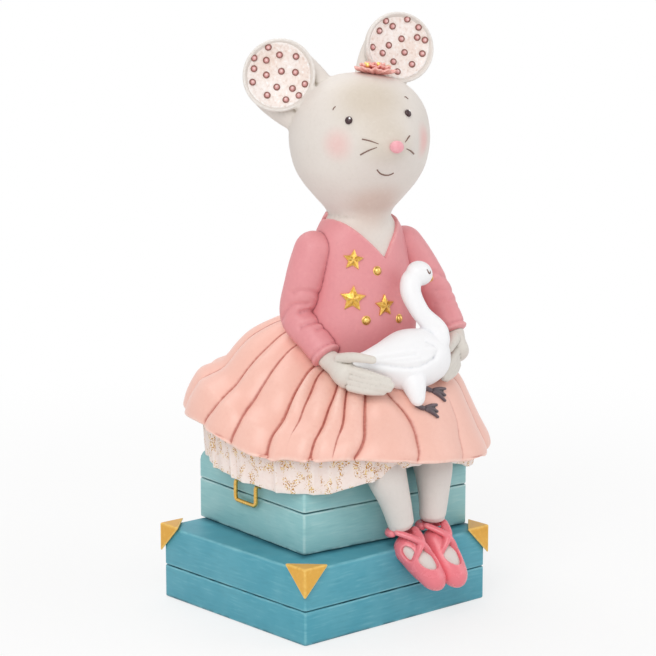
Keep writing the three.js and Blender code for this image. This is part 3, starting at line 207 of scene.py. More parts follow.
class Bench:
    """Primitives, edit mode and modifiers, as used by hand."""

    @staticmethod
    def clear() -> None:
        """Deselects every object."""
        if bpy.context.object and bpy.context.object.mode != "OBJECT":
            bpy.ops.object.mode_set(mode="OBJECT")
        bpy.ops.object.select_all(action="DESELECT")

    @staticmethod
    def pick(*objects: bpy.types.Object) -> bpy.types.Object:
        """Selects the objects and makes the first one active."""
        Bench.clear()
        for obj in objects:
            obj.select_set(True)
        bpy.context.view_layer.objects.active = objects[0]
        return objects[0]

    @staticmethod
    def edit(obj: bpy.types.Object, select: str = "SELECT") -> bmesh.types.BMesh:
        """Opens an object in edit mode with everything selected, or nothing."""
        Bench.pick(obj)
        bpy.ops.object.mode_set(mode="EDIT")
        bpy.ops.mesh.select_mode(type="VERT")
        bpy.ops.mesh.select_all(action=select)
        return bmesh.from_edit_mesh(obj.data)

    @staticmethod
    def close() -> None:
        """Leaves edit mode."""
        bpy.ops.object.mode_set(mode="OBJECT")

    @staticmethod
    def named(name: str) -> bpy.types.Object:
        """Names the object that was made last, and its mesh."""
        obj = bpy.context.active_object
        obj.name = obj.data.name = name
        return obj

    @staticmethod
    def skin(
        name: str,
        rings: Sequence[Ring],
        ends: tuple[End, End] = (End.POINT, End.POINT),
        endless: bool = False,
    ) -> bpy.types.Object:
        """Draws a skin out of a circle, one extrusion for each ring.

        Args:
            name: Name of the new object.
            rings: Rings of points, all with the same number of them.
            ends: How the first and the last ring are closed.
            endless: Whether the last ring is bridged to the first one instead.

        Returns:
            The new object, its faces turned outwards.
        """
        Bench.clear()
        bpy.ops.mesh.primitive_circle_add(vertices=len(rings[0]), radius=1)
        obj = Bench.named(name)
        mesh = Bench.edit(obj)
        mesh.verts.ensure_lookup_table()
        loop = list(mesh.verts)
        order = [v.index for v in loop]
        for vertex, place in zip(loop, rings[0]):
            vertex.co = place
        first = order
        for ring in rings[1:]:
            bpy.ops.mesh.extrude_region_move()
            mesh = bmesh.from_edit_mesh(obj.data)
            mesh.verts.ensure_lookup_table()
            fresh = []
            for index, place in zip(order, ring):
                vertex = next(
                    e.other_vert(mesh.verts[index])
                    for e in mesh.verts[index].link_edges
                    if e.other_vert(mesh.verts[index]).select
                )
                vertex.co = place
                fresh.append(vertex.index)
            order = fresh
        if endless:
            Bench._select(mesh, first, keep=True)
            bpy.ops.mesh.bridge_edge_loops()
        else:
            for kind, loop in ((ends[1], order), (ends[0], first)):
                Bench._select(bmesh.from_edit_mesh(obj.data), loop)
                bpy.ops.mesh.edge_face_add()
                if kind is End.POINT:
                    bpy.ops.mesh.poke()
        bpy.ops.mesh.select_all(action="SELECT")
        bpy.ops.mesh.normals_make_consistent(inside=False)
        Bench.close()
        return obj

    @staticmethod
    def _select(mesh: bmesh.types.BMesh, loop: Iterable[int], keep: bool = False) -> None:
        """Selects a ring of edges by the numbers of its corners."""
        if not keep:
            bpy.ops.mesh.select_all(action="DESELECT")
        mesh.verts.ensure_lookup_table()
        wanted = set(loop)
        for index in wanted:
            mesh.verts[index].select = True
        for edge in mesh.edges:
            if edge.verts[0].index in wanted and edge.verts[1].index in wanted:
                edge.select = True
        bmesh.update_edit_mesh(bpy.context.edit_object.data)

    @staticmethod
    def modify(obj: bpy.types.Object, kind: str, **settings) -> bpy.types.Object:
        """Adds a modifier with its settings and applies it."""
        Bench.pick(obj)
        modifier = obj.modifiers.new(kind.title(), kind)
        for key, value in settings.items():
            setattr(modifier, key, value)
        bpy.ops.object.modifier_apply(modifier=modifier.name)
        return obj

    @staticmethod
    def smooth(obj: bpy.types.Object) -> bpy.types.Object:
        """Rounds a cage with one applied level of subdivision."""
        return Bench.modify(obj, "SUBSURF", levels=1, render_levels=1)

    @staticmethod
    def join(name: str, objects: Sequence[bpy.types.Object]) -> bpy.types.Object:
        """Joins objects into one mesh."""
        Bench.pick(*objects)
        if len(objects) > 1:
            bpy.ops.object.join()
        return Bench.named(name)

    @staticmethod
    def fuse(obj: bpy.types.Object, voxel: float, rounds: int) -> bpy.types.Object:
        """Fuses overlapping forms into one skin and softens where they meet.

        Args:
            obj: The joined forms.
            voxel: Size of the cells that the skin is rebuilt from.
            rounds: How often it is smoothed.

        Returns:
            The same object.
        """
        Bench.modify(obj, "REMESH", mode="VOXEL", voxel_size=voxel, use_smooth_shade=True)
        return Bench.modify(obj, "SMOOTH", factor=0.5, iterations=rounds)

    @staticmethod
    def carve(obj: bpy.types.Object, *tools: bpy.types.Object) -> bpy.types.Object:
        """Cuts the tools out of a closed form and throws them away."""
        for tool in tools:
            Bench.modify(obj, "BOOLEAN", operation="DIFFERENCE", solver="EXACT", object=tool)
            bpy.data.objects.remove(tool)
        return obj

    @staticmethod
    def block(
        name: str, low: Vector, high: Vector, bevels: Sequence[tuple[float, Callable, int]] = ()
    ) -> bpy.types.Object:
        """A cube primitive set between two corners, with chosen edges bevelled.

        Args:
            name: Name of the new object.
            low: Lowest corner.
            high: Highest corner.
            bevels: Width, test on an edge and number of segments, one for each bevel.

        Returns:
            The new object.
        """
        Bench.clear()
        bpy.ops.mesh.primitive_cube_add(size=1, location=(low + high) / 2)
        obj = Bench.named(name)
        obj.scale = high - low
        bpy.ops.object.transform_apply(location=True, rotation=True, scale=True)
        for width, wanted, segments in bevels:
            mesh = Bench.edit(obj, "DESELECT")
            bpy.ops.mesh.select_mode(type="EDGE")
            for edge in mesh.edges:
                edge.select = bool(wanted(*(v.co.copy() for v in edge.verts)))
            bmesh.update_edit_mesh(obj.data)
            bpy.ops.mesh.bevel(offset=width, segments=segments, profile=0.5)
            Bench.close()
        return obj

    @staticmethod
    def place(obj: bpy.types.Object, matrix: Matrix) -> bpy.types.Object:
        """Moves a mesh, and leaves its object at the origin."""
        obj.data.transform(matrix)
        obj.data.update()
        return obj


def tree_of(objects: Iterable[bpy.types.Object]) -> BVHTree:
    """A search tree over the meshes of objects that lie in the same frame."""
    points: list[Vector] = []
    faces: list[list[int]] = []
    for obj in objects:
        start = len(points)
        points.extend(v.co.copy() for v in obj.data.vertices)
        faces.extend([start + k for k in face.vertices] for face in obj.data.polygons)
    return BVHTree.FromPolygons(points, faces)


def points_of(mesh: bpy.types.Mesh) -> tuple[np.ndarray, np.ndarray]:
    """Places and normals of a mesh's points, a row for each."""
    size = len(mesh.vertices) * 3
    points, normals = np.empty(size), np.empty(size)
    mesh.vertices.foreach_get("co", points)
    mesh.vertices.foreach_get("normal", normals)
    return points.reshape(-1, 3), normals.reshape(-1, 3)


def store(obj: bpy.types.Object, name: str, values: Iterable[float]) -> None:
    """Keeps a number for each point of a mesh as one of its attributes."""
    attributes = obj.data.attributes
    layer = attributes.get(name) or attributes.new(name, "FLOAT", "POINT")
    layer.data.foreach_set("value", np.asarray(values, dtype=np.float32))


@dataclass
class Limb:
    """A round-ended form drawn along a smooth line.

    Attributes:
        through: What its middle line passes through.
        radii: Its radii at even stations of that line.
        flat: Height as a share of its width, at the first and the last end.
        up: Direction of that height.
        sides: Points of a ring.
        steps: Rings between the rounded ends.
        ends: Length of each rounded end, as a share of its radius.
        margin: What is added to every radius.
    """

    through: Sequence[Vector]
    radii: Sequence[float]
    flat: tuple[float, float] = (1.0, 1.0)
    up: Vector = field(default_factory=lambda: vec(0, 0, 1))
    sides: int = 32
    steps: int = 24
    ends: tuple[float, float] = (1.0, 1.0)
    margin: float = 0.0
    ROUNDING: ClassVar[tuple[float, ...]] = (0.01, 0.06, 0.15, 0.3, 0.5, 0.75)

    def rings(self) -> list[Ring]:
        """Rings of points from one rounded end to the other."""
        line = Line(self.through)
        first = (self.radii[0] + self.margin) * self.ends[0] / line.length
        last = (self.radii[-1] + self.margin) * self.ends[1] / line.length
        stations = [(u * first, math.sqrt(u * (2 - u))) for u in self.ROUNDING]
        stations += [(mix(first, 1 - last, k / self.steps), 1.0) for k in range(self.steps + 1)]
        stations += [(1 - u * last, math.sqrt(u * (2 - u))) for u in reversed(self.ROUNDING)]
        rings = []
        for share, end in stations:
            centre, along = line.at(share), line.along(share)
            across = self.up.cross(along).normalized()
            rise = along.cross(across)
            radius = (follow(self.radii, share) + self.margin) * end
            squash = mix(self.flat[0], self.flat[1], share)
            turns = (2 * math.pi * k / self.sides for k in range(self.sides))
            wide, high = across * radius, rise * radius * squash
            rings.append([centre + wide * math.cos(t) + high * math.sin(t) for t in turns])
        return rings

    def build(self, name: str) -> bpy.types.Object:
        """The limb as an object."""
        return Bench.skin(name, self.rings())


# Materials


def _math(operation: str) -> Callable[..., "Value"]:
    """A method that takes a value and another one into a Math node."""

    def method(self: "Value", other: "Value | float" = 0.0) -> "Value":
        return self.shader.node("ShaderNodeMath", {"operation": operation}, {0: self, 1: other})

    return method


class Value:
    """A shader socket that takes part in Python arithmetic.

    most and least give the larger and the smaller of two values, size the value without its sign.
    """

    __add__ = __radd__ = _math("ADD")
    __sub__ = _math("SUBTRACT")
    __mul__ = _math("MULTIPLY")
    most = _math("MAXIMUM")
    least = _math("MINIMUM")
    size = _math("ABSOLUTE")

    def __init__(self, shader: "Shader", socket: bpy.types.NodeSocket) -> None:
        """Wraps an output socket of a shader's node."""
        self.shader = shader
        self.socket = socket

    def __rsub__(self, other: float) -> "Value":
        """Difference, with the socket on the right."""
        return self.shader.node("ShaderNodeMath", {"operation": "SUBTRACT"}, {0: other, 1: self})

    def step(self, low: float, high: float, to_low: float = 0.0, to_high: float = 1.0) -> "Value":
        """Smooth step between two values."""
        return self.shader.node(
            "ShaderNodeMapRange",
            {"interpolation_type": "SMOOTHSTEP"},
            {"Value": self, "From Min": low, "From Max": high, "To Min": to_low, "To Max": to_high},
        )


class Shader:
    """A node material under construction."""

    RELIEF = 0.6

    def __init__(self, name: str) -> None:
        """Starts an empty material."""
        self.material = bpy.data.materials.new(name)
        self.material.use_nodes = True
        self._tree = self.material.node_tree
        self._tree.nodes.clear()
        self.place = self.node("ShaderNodeTexCoord", output="Object")

    def node(
        self,
        kind: str,
        settings: dict[str, object] | None = None,
        inputs: dict[str | int, object] | None = None,
        output: str | int = 0,
    ) -> Value:
        """Adds a node.

        Args:
            kind: The node's type.
            settings: Its properties, set before its sockets.
            inputs: Values or links of its sockets, by name or number.
            output: The socket that is handed back.

        Returns:
            That output as a value.
        """
        made = self._tree.nodes.new(kind)
        for key, setting in (settings or {}).items():
            setattr(made, key, setting)
        for key, given in (inputs or {}).items():
            if isinstance(given, Value):
                self._tree.links.new(given.socket, made.inputs[key])
            else:
                made.inputs[key].default_value = given
        return Value(self, made.outputs[output])

    def attribute(self, name: str) -> Value:
        """A number painted on the piece's own points."""
        return self.node("ShaderNodeAttribute", {"attribute_name": name}, output="Fac")

    def noise(
        self, size: float, stretch: Colour = (1, 1, 1), detail: float = 3.0, turn: float = 0.0
    ) -> Value:
        """Noise from 0 to 1 whose features have a size in millimetres, drawn out along the axes."""
        scale = tuple(1 / (size * MM * s) for s in stretch)
        place = self.node(
            "ShaderNodeMapping",
            {"vector_type": "POINT"},
            {"Vector": self.place, "Rotation": (0, 0, turn), "Scale": scale},
        )
        return self.node(
            "ShaderNodeTexNoise", inputs={"Vector": place, "Scale": 1.0, "Detail": detail},
            output="Fac",
        )

    def tone(self, share: Value | float, under: Value | Colour, over: Value | Colour) -> Value:
        """Lays one colour over another by a share."""
        given = {0: share}
        for key, colour in ((6, under), (7, over)):
            given[key] = colour if isinstance(colour, Value) else (*colour, 1.0)
        return self.node("ShaderNodeMix", {"data_type": "RGBA"}, given, output=2)

    def axis(self, index: int) -> Value:
        """One coordinate of the place, in metres."""
        return self.node("ShaderNodeSeparateXYZ", inputs={0: self.place}, output=index)

    def from_walls(self, centre: Vector, half: Vector, turn: float) -> list[Value]:
        """Distances in millimetres, inwards, from the walls of a box along its own three axes."""
        local = self.node(
            "ShaderNodeMapping",
            {"vector_type": "TEXTURE"},
            {
                "Vector": self.place, "Location": (centre + SHIFT) * MM, "Rotation": (0, 0, turn),
                "Scale": (MM, MM, MM),
            },
        )
        return [
            half[k] - self.node(
                "ShaderNodeSeparateXYZ", inputs={0: local}, output=k
            ).size() for k in range(3)
        ]

    def near(self, place: Vector, inner: float, outer: float) -> Value:
        """1 round a place of the maker's frame, fading to 0 between two distances."""
        centre = (place + SHIFT) * MM
        away = self.node(
            "ShaderNodeVectorMath", {"operation": "DISTANCE"}, {
                0: self.place, 1: centre
            }, output="Value"
        )
        return away.step(inner * MM, outer * MM, 1.0, 0.0)

    def bump(self, height: Value, depth: float) -> Value:
        """A normal raised by a height, whose full range is a depth in millimetres."""
        inputs = {"Strength": self.RELIEF, "Distance": depth * MM, "Height": height}
        return self.node("ShaderNodeBump", inputs=inputs, output="Normal")

    def close(self, **sockets: object) -> bpy.types.Material:
        """Ends the material in a principled shader with the given sockets."""
        named = {
            key.replace("_", " ").title().replace("Ior", "IOR"): value for key,
            value in sockets.items()
        }
        body = self.node("ShaderNodeBsdfPrincipled", inputs=named)
        self.end(body)
        return self.material

    def end(self, surface: Value) -> None:
        """Joins a surface to the material's output."""
        end = self._tree.nodes.new("ShaderNodeOutputMaterial")
        self._tree.links.new(surface.socket, end.inputs["Surface"])


@dataclass(frozen=True)
class Tint:
    """A soft patch of another colour."""

    place: Vector
    inner: float
    outer: float
    colour: str
    strength: float = 1.0


@dataclass(frozen=True)
class CastPaint:
    """Matt paint over cast resin: washes and painted shade in its creases, a dry brush and painted
    highlight on its ridges.
    """

    slot: str
    colour: str
    # dark tone of the washes and of the painted shade in creases, and of the darker brush strokes
    wash_and_shade_tone: str
    # light tone of the dry brush, the painted highlight on ridges and the lighter brush strokes
    light: str
    roughness: float = 0.5
    mottle: float = 0.35
    depth: float = 0.85
    brush: Colour = (1, 1, 1)
    brush_size: float = 1.2
    brush_turn: float = 0.0
    grain: float = 0.05
    tints: tuple[Tint, ...] = ()
    specular: float = 0.4

    def marks(self, shader: Shader) -> tuple[Value, Value]:
        """Where the washes with painted shade and the dry brush with painted highlight lie, from
        the attributes painted on the mesh.
        """
        return shader.attribute("wash_and_shade"), shader.attribute("ridge")

    def coat(self, shader: Shader) -> dict[str, object]:
        """The sockets of the painted surface."""
        wash_and_shade_tone, light = rgb(self.wash_and_shade_tone), rgb(self.light)
        wash_and_shade, ridge = self.marks(shader)
        cloud = shader.noise(9.0)
        strokes = shader.noise(self.brush_size, self.brush, detail=4.0, turn=self.brush_turn)
        colour = shader.tone(cloud.step(0.3, 0.7) * (self.mottle * 0.5), rgb(self.colour), light)
        for tint in self.tints:
            patch = shader.near(tint.place, tint.inner, tint.outer) * tint.strength
            colour = shader.tone(patch, colour, rgb(tint.colour))
        colour = shader.tone(strokes.step(0.52, 0.78) * self.mottle, colour, light)
        colour = shader.tone(strokes.step(0.5, 0.22) * (self.mottle * 0.45), colour, wash_and_shade_tone)
        # dry brush and painted highlight on ridges, broken up by the strokes
        edge = ridge * strokes.step(0.3, 0.62, 0.45, 1.0)
        colour = shader.tone(edge * 0.75, colour, light)
        # washes and painted shade in creases and where pieces touch
        wash_and_shade_share = (wash_and_shade * self.depth * strokes.step(0.2, 0.75, 1.15, 0.75)).step(0.0, 1.0)
        colour = shader.tone(wash_and_shade_share, colour, wash_and_shade_tone)
        relief = strokes * 0.7 + shader.noise(0.35, detail=2.0) * 0.3
        return {
            "base_color": colour,
            "roughness": self.roughness + (strokes - 0.5) * 0.16,
            "specular_ior_level": self.specular,
            "normal": shader.bump(relief, self.grain),
        }

    @cached_property
    def material(self) -> bpy.types.Material:
        """Builds the paint's nodes."""
        shader = Shader(self.slot)
        return shader.close(**self.coat(shader))


@dataclass(frozen=True)
class GoldPaint:
    """Gold paint with a soft metallic sheen, lighter with painted highlight on ridges, browned and
    duller where washes and painted shade gather.
    """

    slot: str = "gold"
    colour: str = "d9a441"
    # brown of the washes and of the painted shade in creases
    wash_and_shade_tone: str = "6b4420"
    # pale gold of the lighter strokes and of the painted highlight on ridges
    light: str = "f6d98a"

    @cached_property
    def material(self) -> bpy.types.Material:
        """Builds the paint's nodes."""
        shader = Shader(self.slot)
        strokes = shader.noise(0.8, detail=3.0)
        colour = shader.tone(strokes.step(0.4, 0.75) * 0.5, rgb(self.colour), rgb(self.light))
        # painted highlight on ridges
        colour = shader.tone(shader.attribute("ridge") * 0.6, colour, rgb(self.light))
        # washes and painted shade in creases, which also dull the metal
        wash_and_shade = shader.attribute("wash_and_shade") * 0.9
        colour = shader.tone(wash_and_shade, colour, rgb(self.wash_and_shade_tone))
        return shader.close(
            base_color=colour,
            metallic=0.8 - wash_and_shade * 0.5,
            roughness=0.3 + (strokes - 0.5) * 0.2,
            normal=shader.bump(strokes, 0.08),
        )


def weather(
    obj: bpy.types.Object,
    spread: int = 4,
    gain: float = 1.6,
    plain: float = 0.12,
    against: Sequence[bpy.types.Object] = (),
    reach: float = 1.4,
) -> bpy.types.Object:
    """Paints two attributes on a mesh from its own shape and its neighbours: washes and painted
    shade in hollows, a dry brush and painted highlight on bends.

    Args:
        obj: The mesh, in millimetres.
        spread: How far the washes and painted shade bleed, in rounds over neighbouring points.
        gain: How strongly a bend counts.
        plain: Bend of a plain rounded surface, which gets no dry brush or painted highlight.
        against: Neighbours along whose contact line painted shade gathers too.
        reach: Width of that line in millimetres.

    Returns:
        The same object.
    """
    mesh = obj.data
    count = len(mesh.vertices)
    points, normals = points_of(mesh)
    ends = np.empty(len(mesh.edges) * 2, dtype=np.int64)
    mesh.edges.foreach_get("vertices", ends)
    a, b = ends.reshape(-1, 2).T
    step = points[b] - points[a]
    square = (step**2).sum(1) + 1e-6
    share = np.bincount(ends, minlength=count).clip(1)

    def gathered(at_a: np.ndarray, at_b: np.ndarray) -> np.ndarray:
        """Mean over the edges of each point."""
        return (np.bincount(a, at_a, count) + np.bincount(b, at_b, count)) / share

    bend = gathered(
        2 * (step * normals[a]).sum(1) / square, -2 * (step * normals[b]).sum(1) / square
    )
    for _ in range(spread):
        bend = 0.4 * bend + 0.6 * gathered(bend[b], bend[a])
    # washes and painted shade in hollows, dry brush and painted highlight on bends
    wash_and_shade = np.clip(bend * gain, 0, 1)
    ridge = np.clip((-bend - plain) * gain, 0, 1)
    # painted shade along the lines where neighbouring pieces touch
    if against:
        tree = tree_of(against)
        for k, point in enumerate(mesh.vertices):
            away = tree.find_nearest(point.co, reach)[3]
            if away is not None:
                contact_shade = 1 - away / reach
                wash_and_shade[k] = max(wash_and_shade[k], contact_shade * contact_shade)
    store(obj, "wash_and_shade", wash_and_shade)
    store(obj, "ridge", ridge)
    return obj


def settle(
    obj: bpy.types.Object,
    paint: "CastPaint | GoldPaint",
    *nodes: str,
    body: Body = Body.FIGURE,
    angle: float | None = None,
) -> None:
    """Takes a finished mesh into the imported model's frame, paints it and sets it on its body.

    Args:
        obj: The mesh, in millimetres of the maker's frame.
        paint: Its finish, which knows the record's slot.
        nodes: The solids that it stands for.
        body: The body that it rides on.
        angle: Edges sharper than this, in degrees, stay sharp; None rounds all of them.
    """
    Bench.place(obj, Matrix.Scale(MM, 4) @ Matrix.Translation(SHIFT))
    obj.data.materials.clear()
    obj.data.materials.append(paint.material)
    Bench.pick(obj)
    if angle is None:
        bpy.ops.object.shade_smooth()
    else:
        bpy.ops.object.shade_smooth_by_angle(angle=math.radians(angle))
    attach(obj, body.value)
    if nodes:
        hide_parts(*nodes)
    log.info("%s: %d faces", obj.name, len(obj.data.polygons))


# Sizes and places, in millimetres of the maker's frame; the figure faces FACING degrees off -Y

LOWER_SIZE = (81.4, 74.6, 25.0)
UPPER_SIZE = (69.2, 62.6, 25.5)
UPPER_FOOT = (7.7, 4.5, 25.3)
UPPER_TURN = math.radians(-5)
LOWER_SEAM, UPPER_SEAM = 11.2, 39.1
CASE_GAP = 0.3
SEAT = 50.8
WAIST = 93.8
FACING = -20.0
FIGURE = vec(8.2, -8.5, 134.5)
HEAD = vec(8.2, -8.5, 159.0)
SWAN = vec(3.8, -34.1, 88.4)
UPRIGHT = vec(0, 0, 1)

# Finishes

BRUSHED = (9, 9, 1)


@dataclass(frozen=True)
class CasePaint(CastPaint):
    """Cast paint on a box: dry brush and painted highlight on its edges, a dark seam, painted shade
    at its foot and painted shadow round its load.
    """

    centre: Vector = field(default_factory=lambda: vec(0, 0, 0))
    half: Vector = field(default_factory=lambda: vec(1, 1, 1))
    turn: float = 0.0
    seam: float = 0.0
    # the box that stands on it, whose painted shadow lies round its footprint
    painted_shadow_box: tuple[Vector, Vector, float] | None = None

    def marks(self, shader: Shader) -> tuple[Value, Value]:
        """Dry brush, painted highlight, dark seam, painted shade and painted shadow, from the
        distances to the walls of the box.
        """
        x, y, z = shader.from_walls(self.centre, self.half, self.turn)
        edge = x.least(y).most(x.most(y).least(z))
        patchy = shader.noise(6.0, detail=2.0)
        # dry brush and painted highlight along the box's edges
        ridge = edge.step(0.3, 1.0, 1.0, 0.0) * patchy.step(0.3, 0.6, 0.25, 1.0)
        height = shader.axis(2) * (1 / MM) - self.seam
        groove = height.size().step(0.12, 0.5, 1.0, 0.0) * patchy.step(0.35, 0.6, 0.25, 0.9)
        # dry brush and painted highlight on the lips on either side of the seam
        seam_lips_dry_brush_and_highlight = height.size().step(0.6, 1.0, 1.0, 0.0) * patchy.step(0.35, 0.6, 0.35, 1.0)
        # painted shade along the foot, where the box stands, joined to the dark seam line
        foot = shader.axis(2) * (1 / MM) - (self.centre.z - self.half.z)
        wash_and_shade = groove.most(foot.step(0.2, 1.4, 0.8, 0.0) * patchy.step(0.35, 0.6))
        # painted shadow of the box that stands on it, fading out from its footprint
        if self.painted_shadow_box:
            x, y, _ = shader.from_walls(*self.painted_shadow_box)
            wash_and_shade = wash_and_shade.most((x.least(y) * -1.0).step(0.2, 4.5, 0.75, 0.0))
        return wash_and_shade, ridge.most(seam_lips_dry_brush_and_highlight)


@dataclass(frozen=True)
class GlitterPaint(CastPaint):
    """Cast paint with clusters of gold glitter."""

    fleck: str = "b9803a"

    @cached_property
    def material(self) -> bpy.types.Material:
        """Builds the paint with its flecks on top."""
        shader = Shader(self.slot)
        coat = self.coat(shader)
        cluster = shader.noise(2.6, (1, 1, 1.8), detail=1.0).step(0.42, 0.6)
        grains = shader.noise(0.42, detail=0.0)
        flecks = (grains - cluster * 0.12).step(0.355, 0.325, 0.0, 1.0) * cluster
        bright = shader.noise(0.9, detail=0.0).step(0.45, 0.6)
        gold = shader.tone(bright, rgb(self.fleck), rgb("e6c37a"))
        coat["base_color"] = shader.tone(flecks, coat["base_color"], gold)
        coat["metallic"] = flecks * 0.6
        coat["roughness"] = coat["roughness"] - flecks * 0.15
        return shader.close(**coat)


class Palette:
    """Every finish of the money box, each made once."""

    def __init__(self) -> None:
        """Mixes the paints."""
        lower, upper = Vector(LOWER_SIZE) / 2, Vector(UPPER_SIZE) / 2
        lower_centre = UPRIGHT * lower.z
        upper_centre = Vector(UPPER_FOOT) + UPRIGHT * upper.z
        self.dark_teal = CasePaint(
            "dark_teal", "4f9fb2", "1f5869", "86c5cf", mottle=0.3, brush=BRUSHED, brush_size=0.8,
            centre=lower_centre, half=lower, seam=LOWER_SEAM + CASE_GAP / 2,
            # the upper case casts a painted shadow on the lower case's lid
            painted_shadow_box=(upper_centre, upper, UPPER_TURN),
        )
        self.light_teal = CasePaint(
            "light_teal", "93c8cb", "3f7f8b", "c4e3e2", mottle=0.3, brush=BRUSHED, brush_size=0.8,
            centre=upper_centre, half=upper, turn=UPPER_TURN, seam=UPPER_SEAM + CASE_GAP / 2,
        )
        self.ochre = CastPaint("ochre", "e3a83c", "8a5a1c", "f6cf74", roughness=0.4, mottle=0.25)
        self.peach = CastPaint(
            "peach", "f3bfb0", "bf7468", "fbdacd", roughness=0.33, mottle=0.12, depth=0.9
        )
        self.rose = CastPaint("rose", "e29499", "9c5660", "f0b4b4", roughness=0.45, mottle=0.14)
        head = Head()
        tints = (
            Tint(
                head.at(-12, 15), 3, 17, "cdbfad", 0.75
            ), Tint(head.at(-4, 2), 3, 13, "cfc2b2", 0.6),
            # the darker patch under the jaw is painted shade; the pink patches on the cheeks are
            # blush
            Tint(head.at(0, -21), 3, 13, "cba898", 0.5), Tint(
                head.at(-39.3, -0.2), 0.5, 7.5, "f0a9a6", 0.42
            ),
            Tint(head.at(38.5, 0.2), 0.5, 7.5, "f0a09c", 0.5),
        )
        self.fur = CastPaint(
            "fur", "e2dad3", "938674", "f0ece8", roughness=0.5, mottle=0.12, tints=tints
        )
        self.hand = CastPaint("fur", "ddd7cf", "7d7263", "e6e1d8", roughness=0.5, mottle=0.2)
        self.lining = CastPaint(
            "ear_lining", "f2e0d6", "c39f8a", "ffffff", roughness=0.4, mottle=0.9, brush_size=1.0
        )
        self.dots = CastPaint("rose", "e0a3a2", "855a4c", "fbe9e4", roughness=0.3, mottle=0.1)
        self.nose = CastPaint("nose_pink", "ea9aa6", "c0707c", "f6c0c6", roughness=0.35, mottle=0.2)
        self.eye = CastPaint("eye_dark", "3a2528", "241518", "4a3236", roughness=0.18, mottle=0.1)
        self.line = CastPaint("eye_dark", "6d4f46", "4a3430", "86685c", roughness=0.5, mottle=0.2)
        self.coral = CastPaint(
            "coral", "ec9c94", "b4605a", "f9c6bc", roughness=0.45, mottle=0.4, brush_size=0.6
        )
        self.petticoat = GlitterPaint(
            "petticoat_white", "f6e6df", "cfa090", "fffaf6", roughness=0.45, mottle=0.25
        )
        self.swan_white = CastPaint(
            "swan_white", "f7f7f9", "b9bdc9", "ffffff", roughness=0.42, mottle=0.1
        )
        self.glint = CastPaint(
            "swan_white", "ffffff", "f0f0f0", "ffffff", roughness=0.3, mottle=0.0
        )
        self.beak = CastPaint(
            "beak_orange", "f0ab4e", "b9742a", "f8cc86", roughness=0.4, mottle=0.2
        )
        self.web = CastPaint("web_dark", "4b3d42", "2c2327", "6d5d63", roughness=0.35, mottle=0.2)
        self.tights = CastPaint("tights", "ddd6d1", "968b82", "eeeae6", roughness=0.5, mottle=0.12)
        self.shoe = CastPaint(
            "shoe_coral", "ee7d88", "b84a56", "f8a4aa", roughness=0.26, mottle=0.05, brush_size=2.5,
            grain=0.02, specular=0.55,
        )
        self.rubber = CastPaint("rubber", "d8dad8", "8f9492", "eceeec", roughness=0.6, mottle=0.1)
        self.gold = GoldPaint()


# Forms shared by the pieces


def frame_at(place: Vector, outward: Vector, up: Vector = UPRIGHT) -> Matrix:
    """A frame on a surface: x across, y up the surface, z out of it."""
    z = outward.normalized()
    x = up.cross(z).normalized()
    y = z.cross(x)
    return Matrix.Translation(place) @ Matrix((x, y, z)).transposed().to_4x4()


def circle(sides: int, point: Callable[[float], Vector]) -> Ring:
    """A ring of points, each found from its direction in radians."""
    return [point(2 * math.pi * k / sides) for k in range(sides)]


def turned(name: str, profile: Sequence[tuple[float, float]], sides: int = 64) -> bpy.types.Object:
    """A form of revolution about +Z from pairs of radius and height."""
    rings = [circle(sides, lambda a: vec(r * math.cos(a), r * math.sin(a), z)) for r, z in profile]
    return Bench.skin(name, rings)


def ball(name: str, radius: Vector, place: Matrix, rings: int = 20) -> bpy.types.Object:
    """A ball primitive, drawn out along its axes and placed."""
    Bench.clear()
    bpy.ops.mesh.primitive_uv_sphere_add(segments=2 * rings, ring_count=rings, radius=1)
    return Bench.place(Bench.named(name), place @ Matrix.Diagonal((*radius, 1)))


def mark(obj: bpy.types.Object, name: str, share: Callable[[Vector], float]) -> bpy.types.Object:
    """Paints an attribute on a mesh by the places of its points."""
    store(obj, name, [share(v.co) for v in obj.data.vertices])
    return obj


# Travelling cases


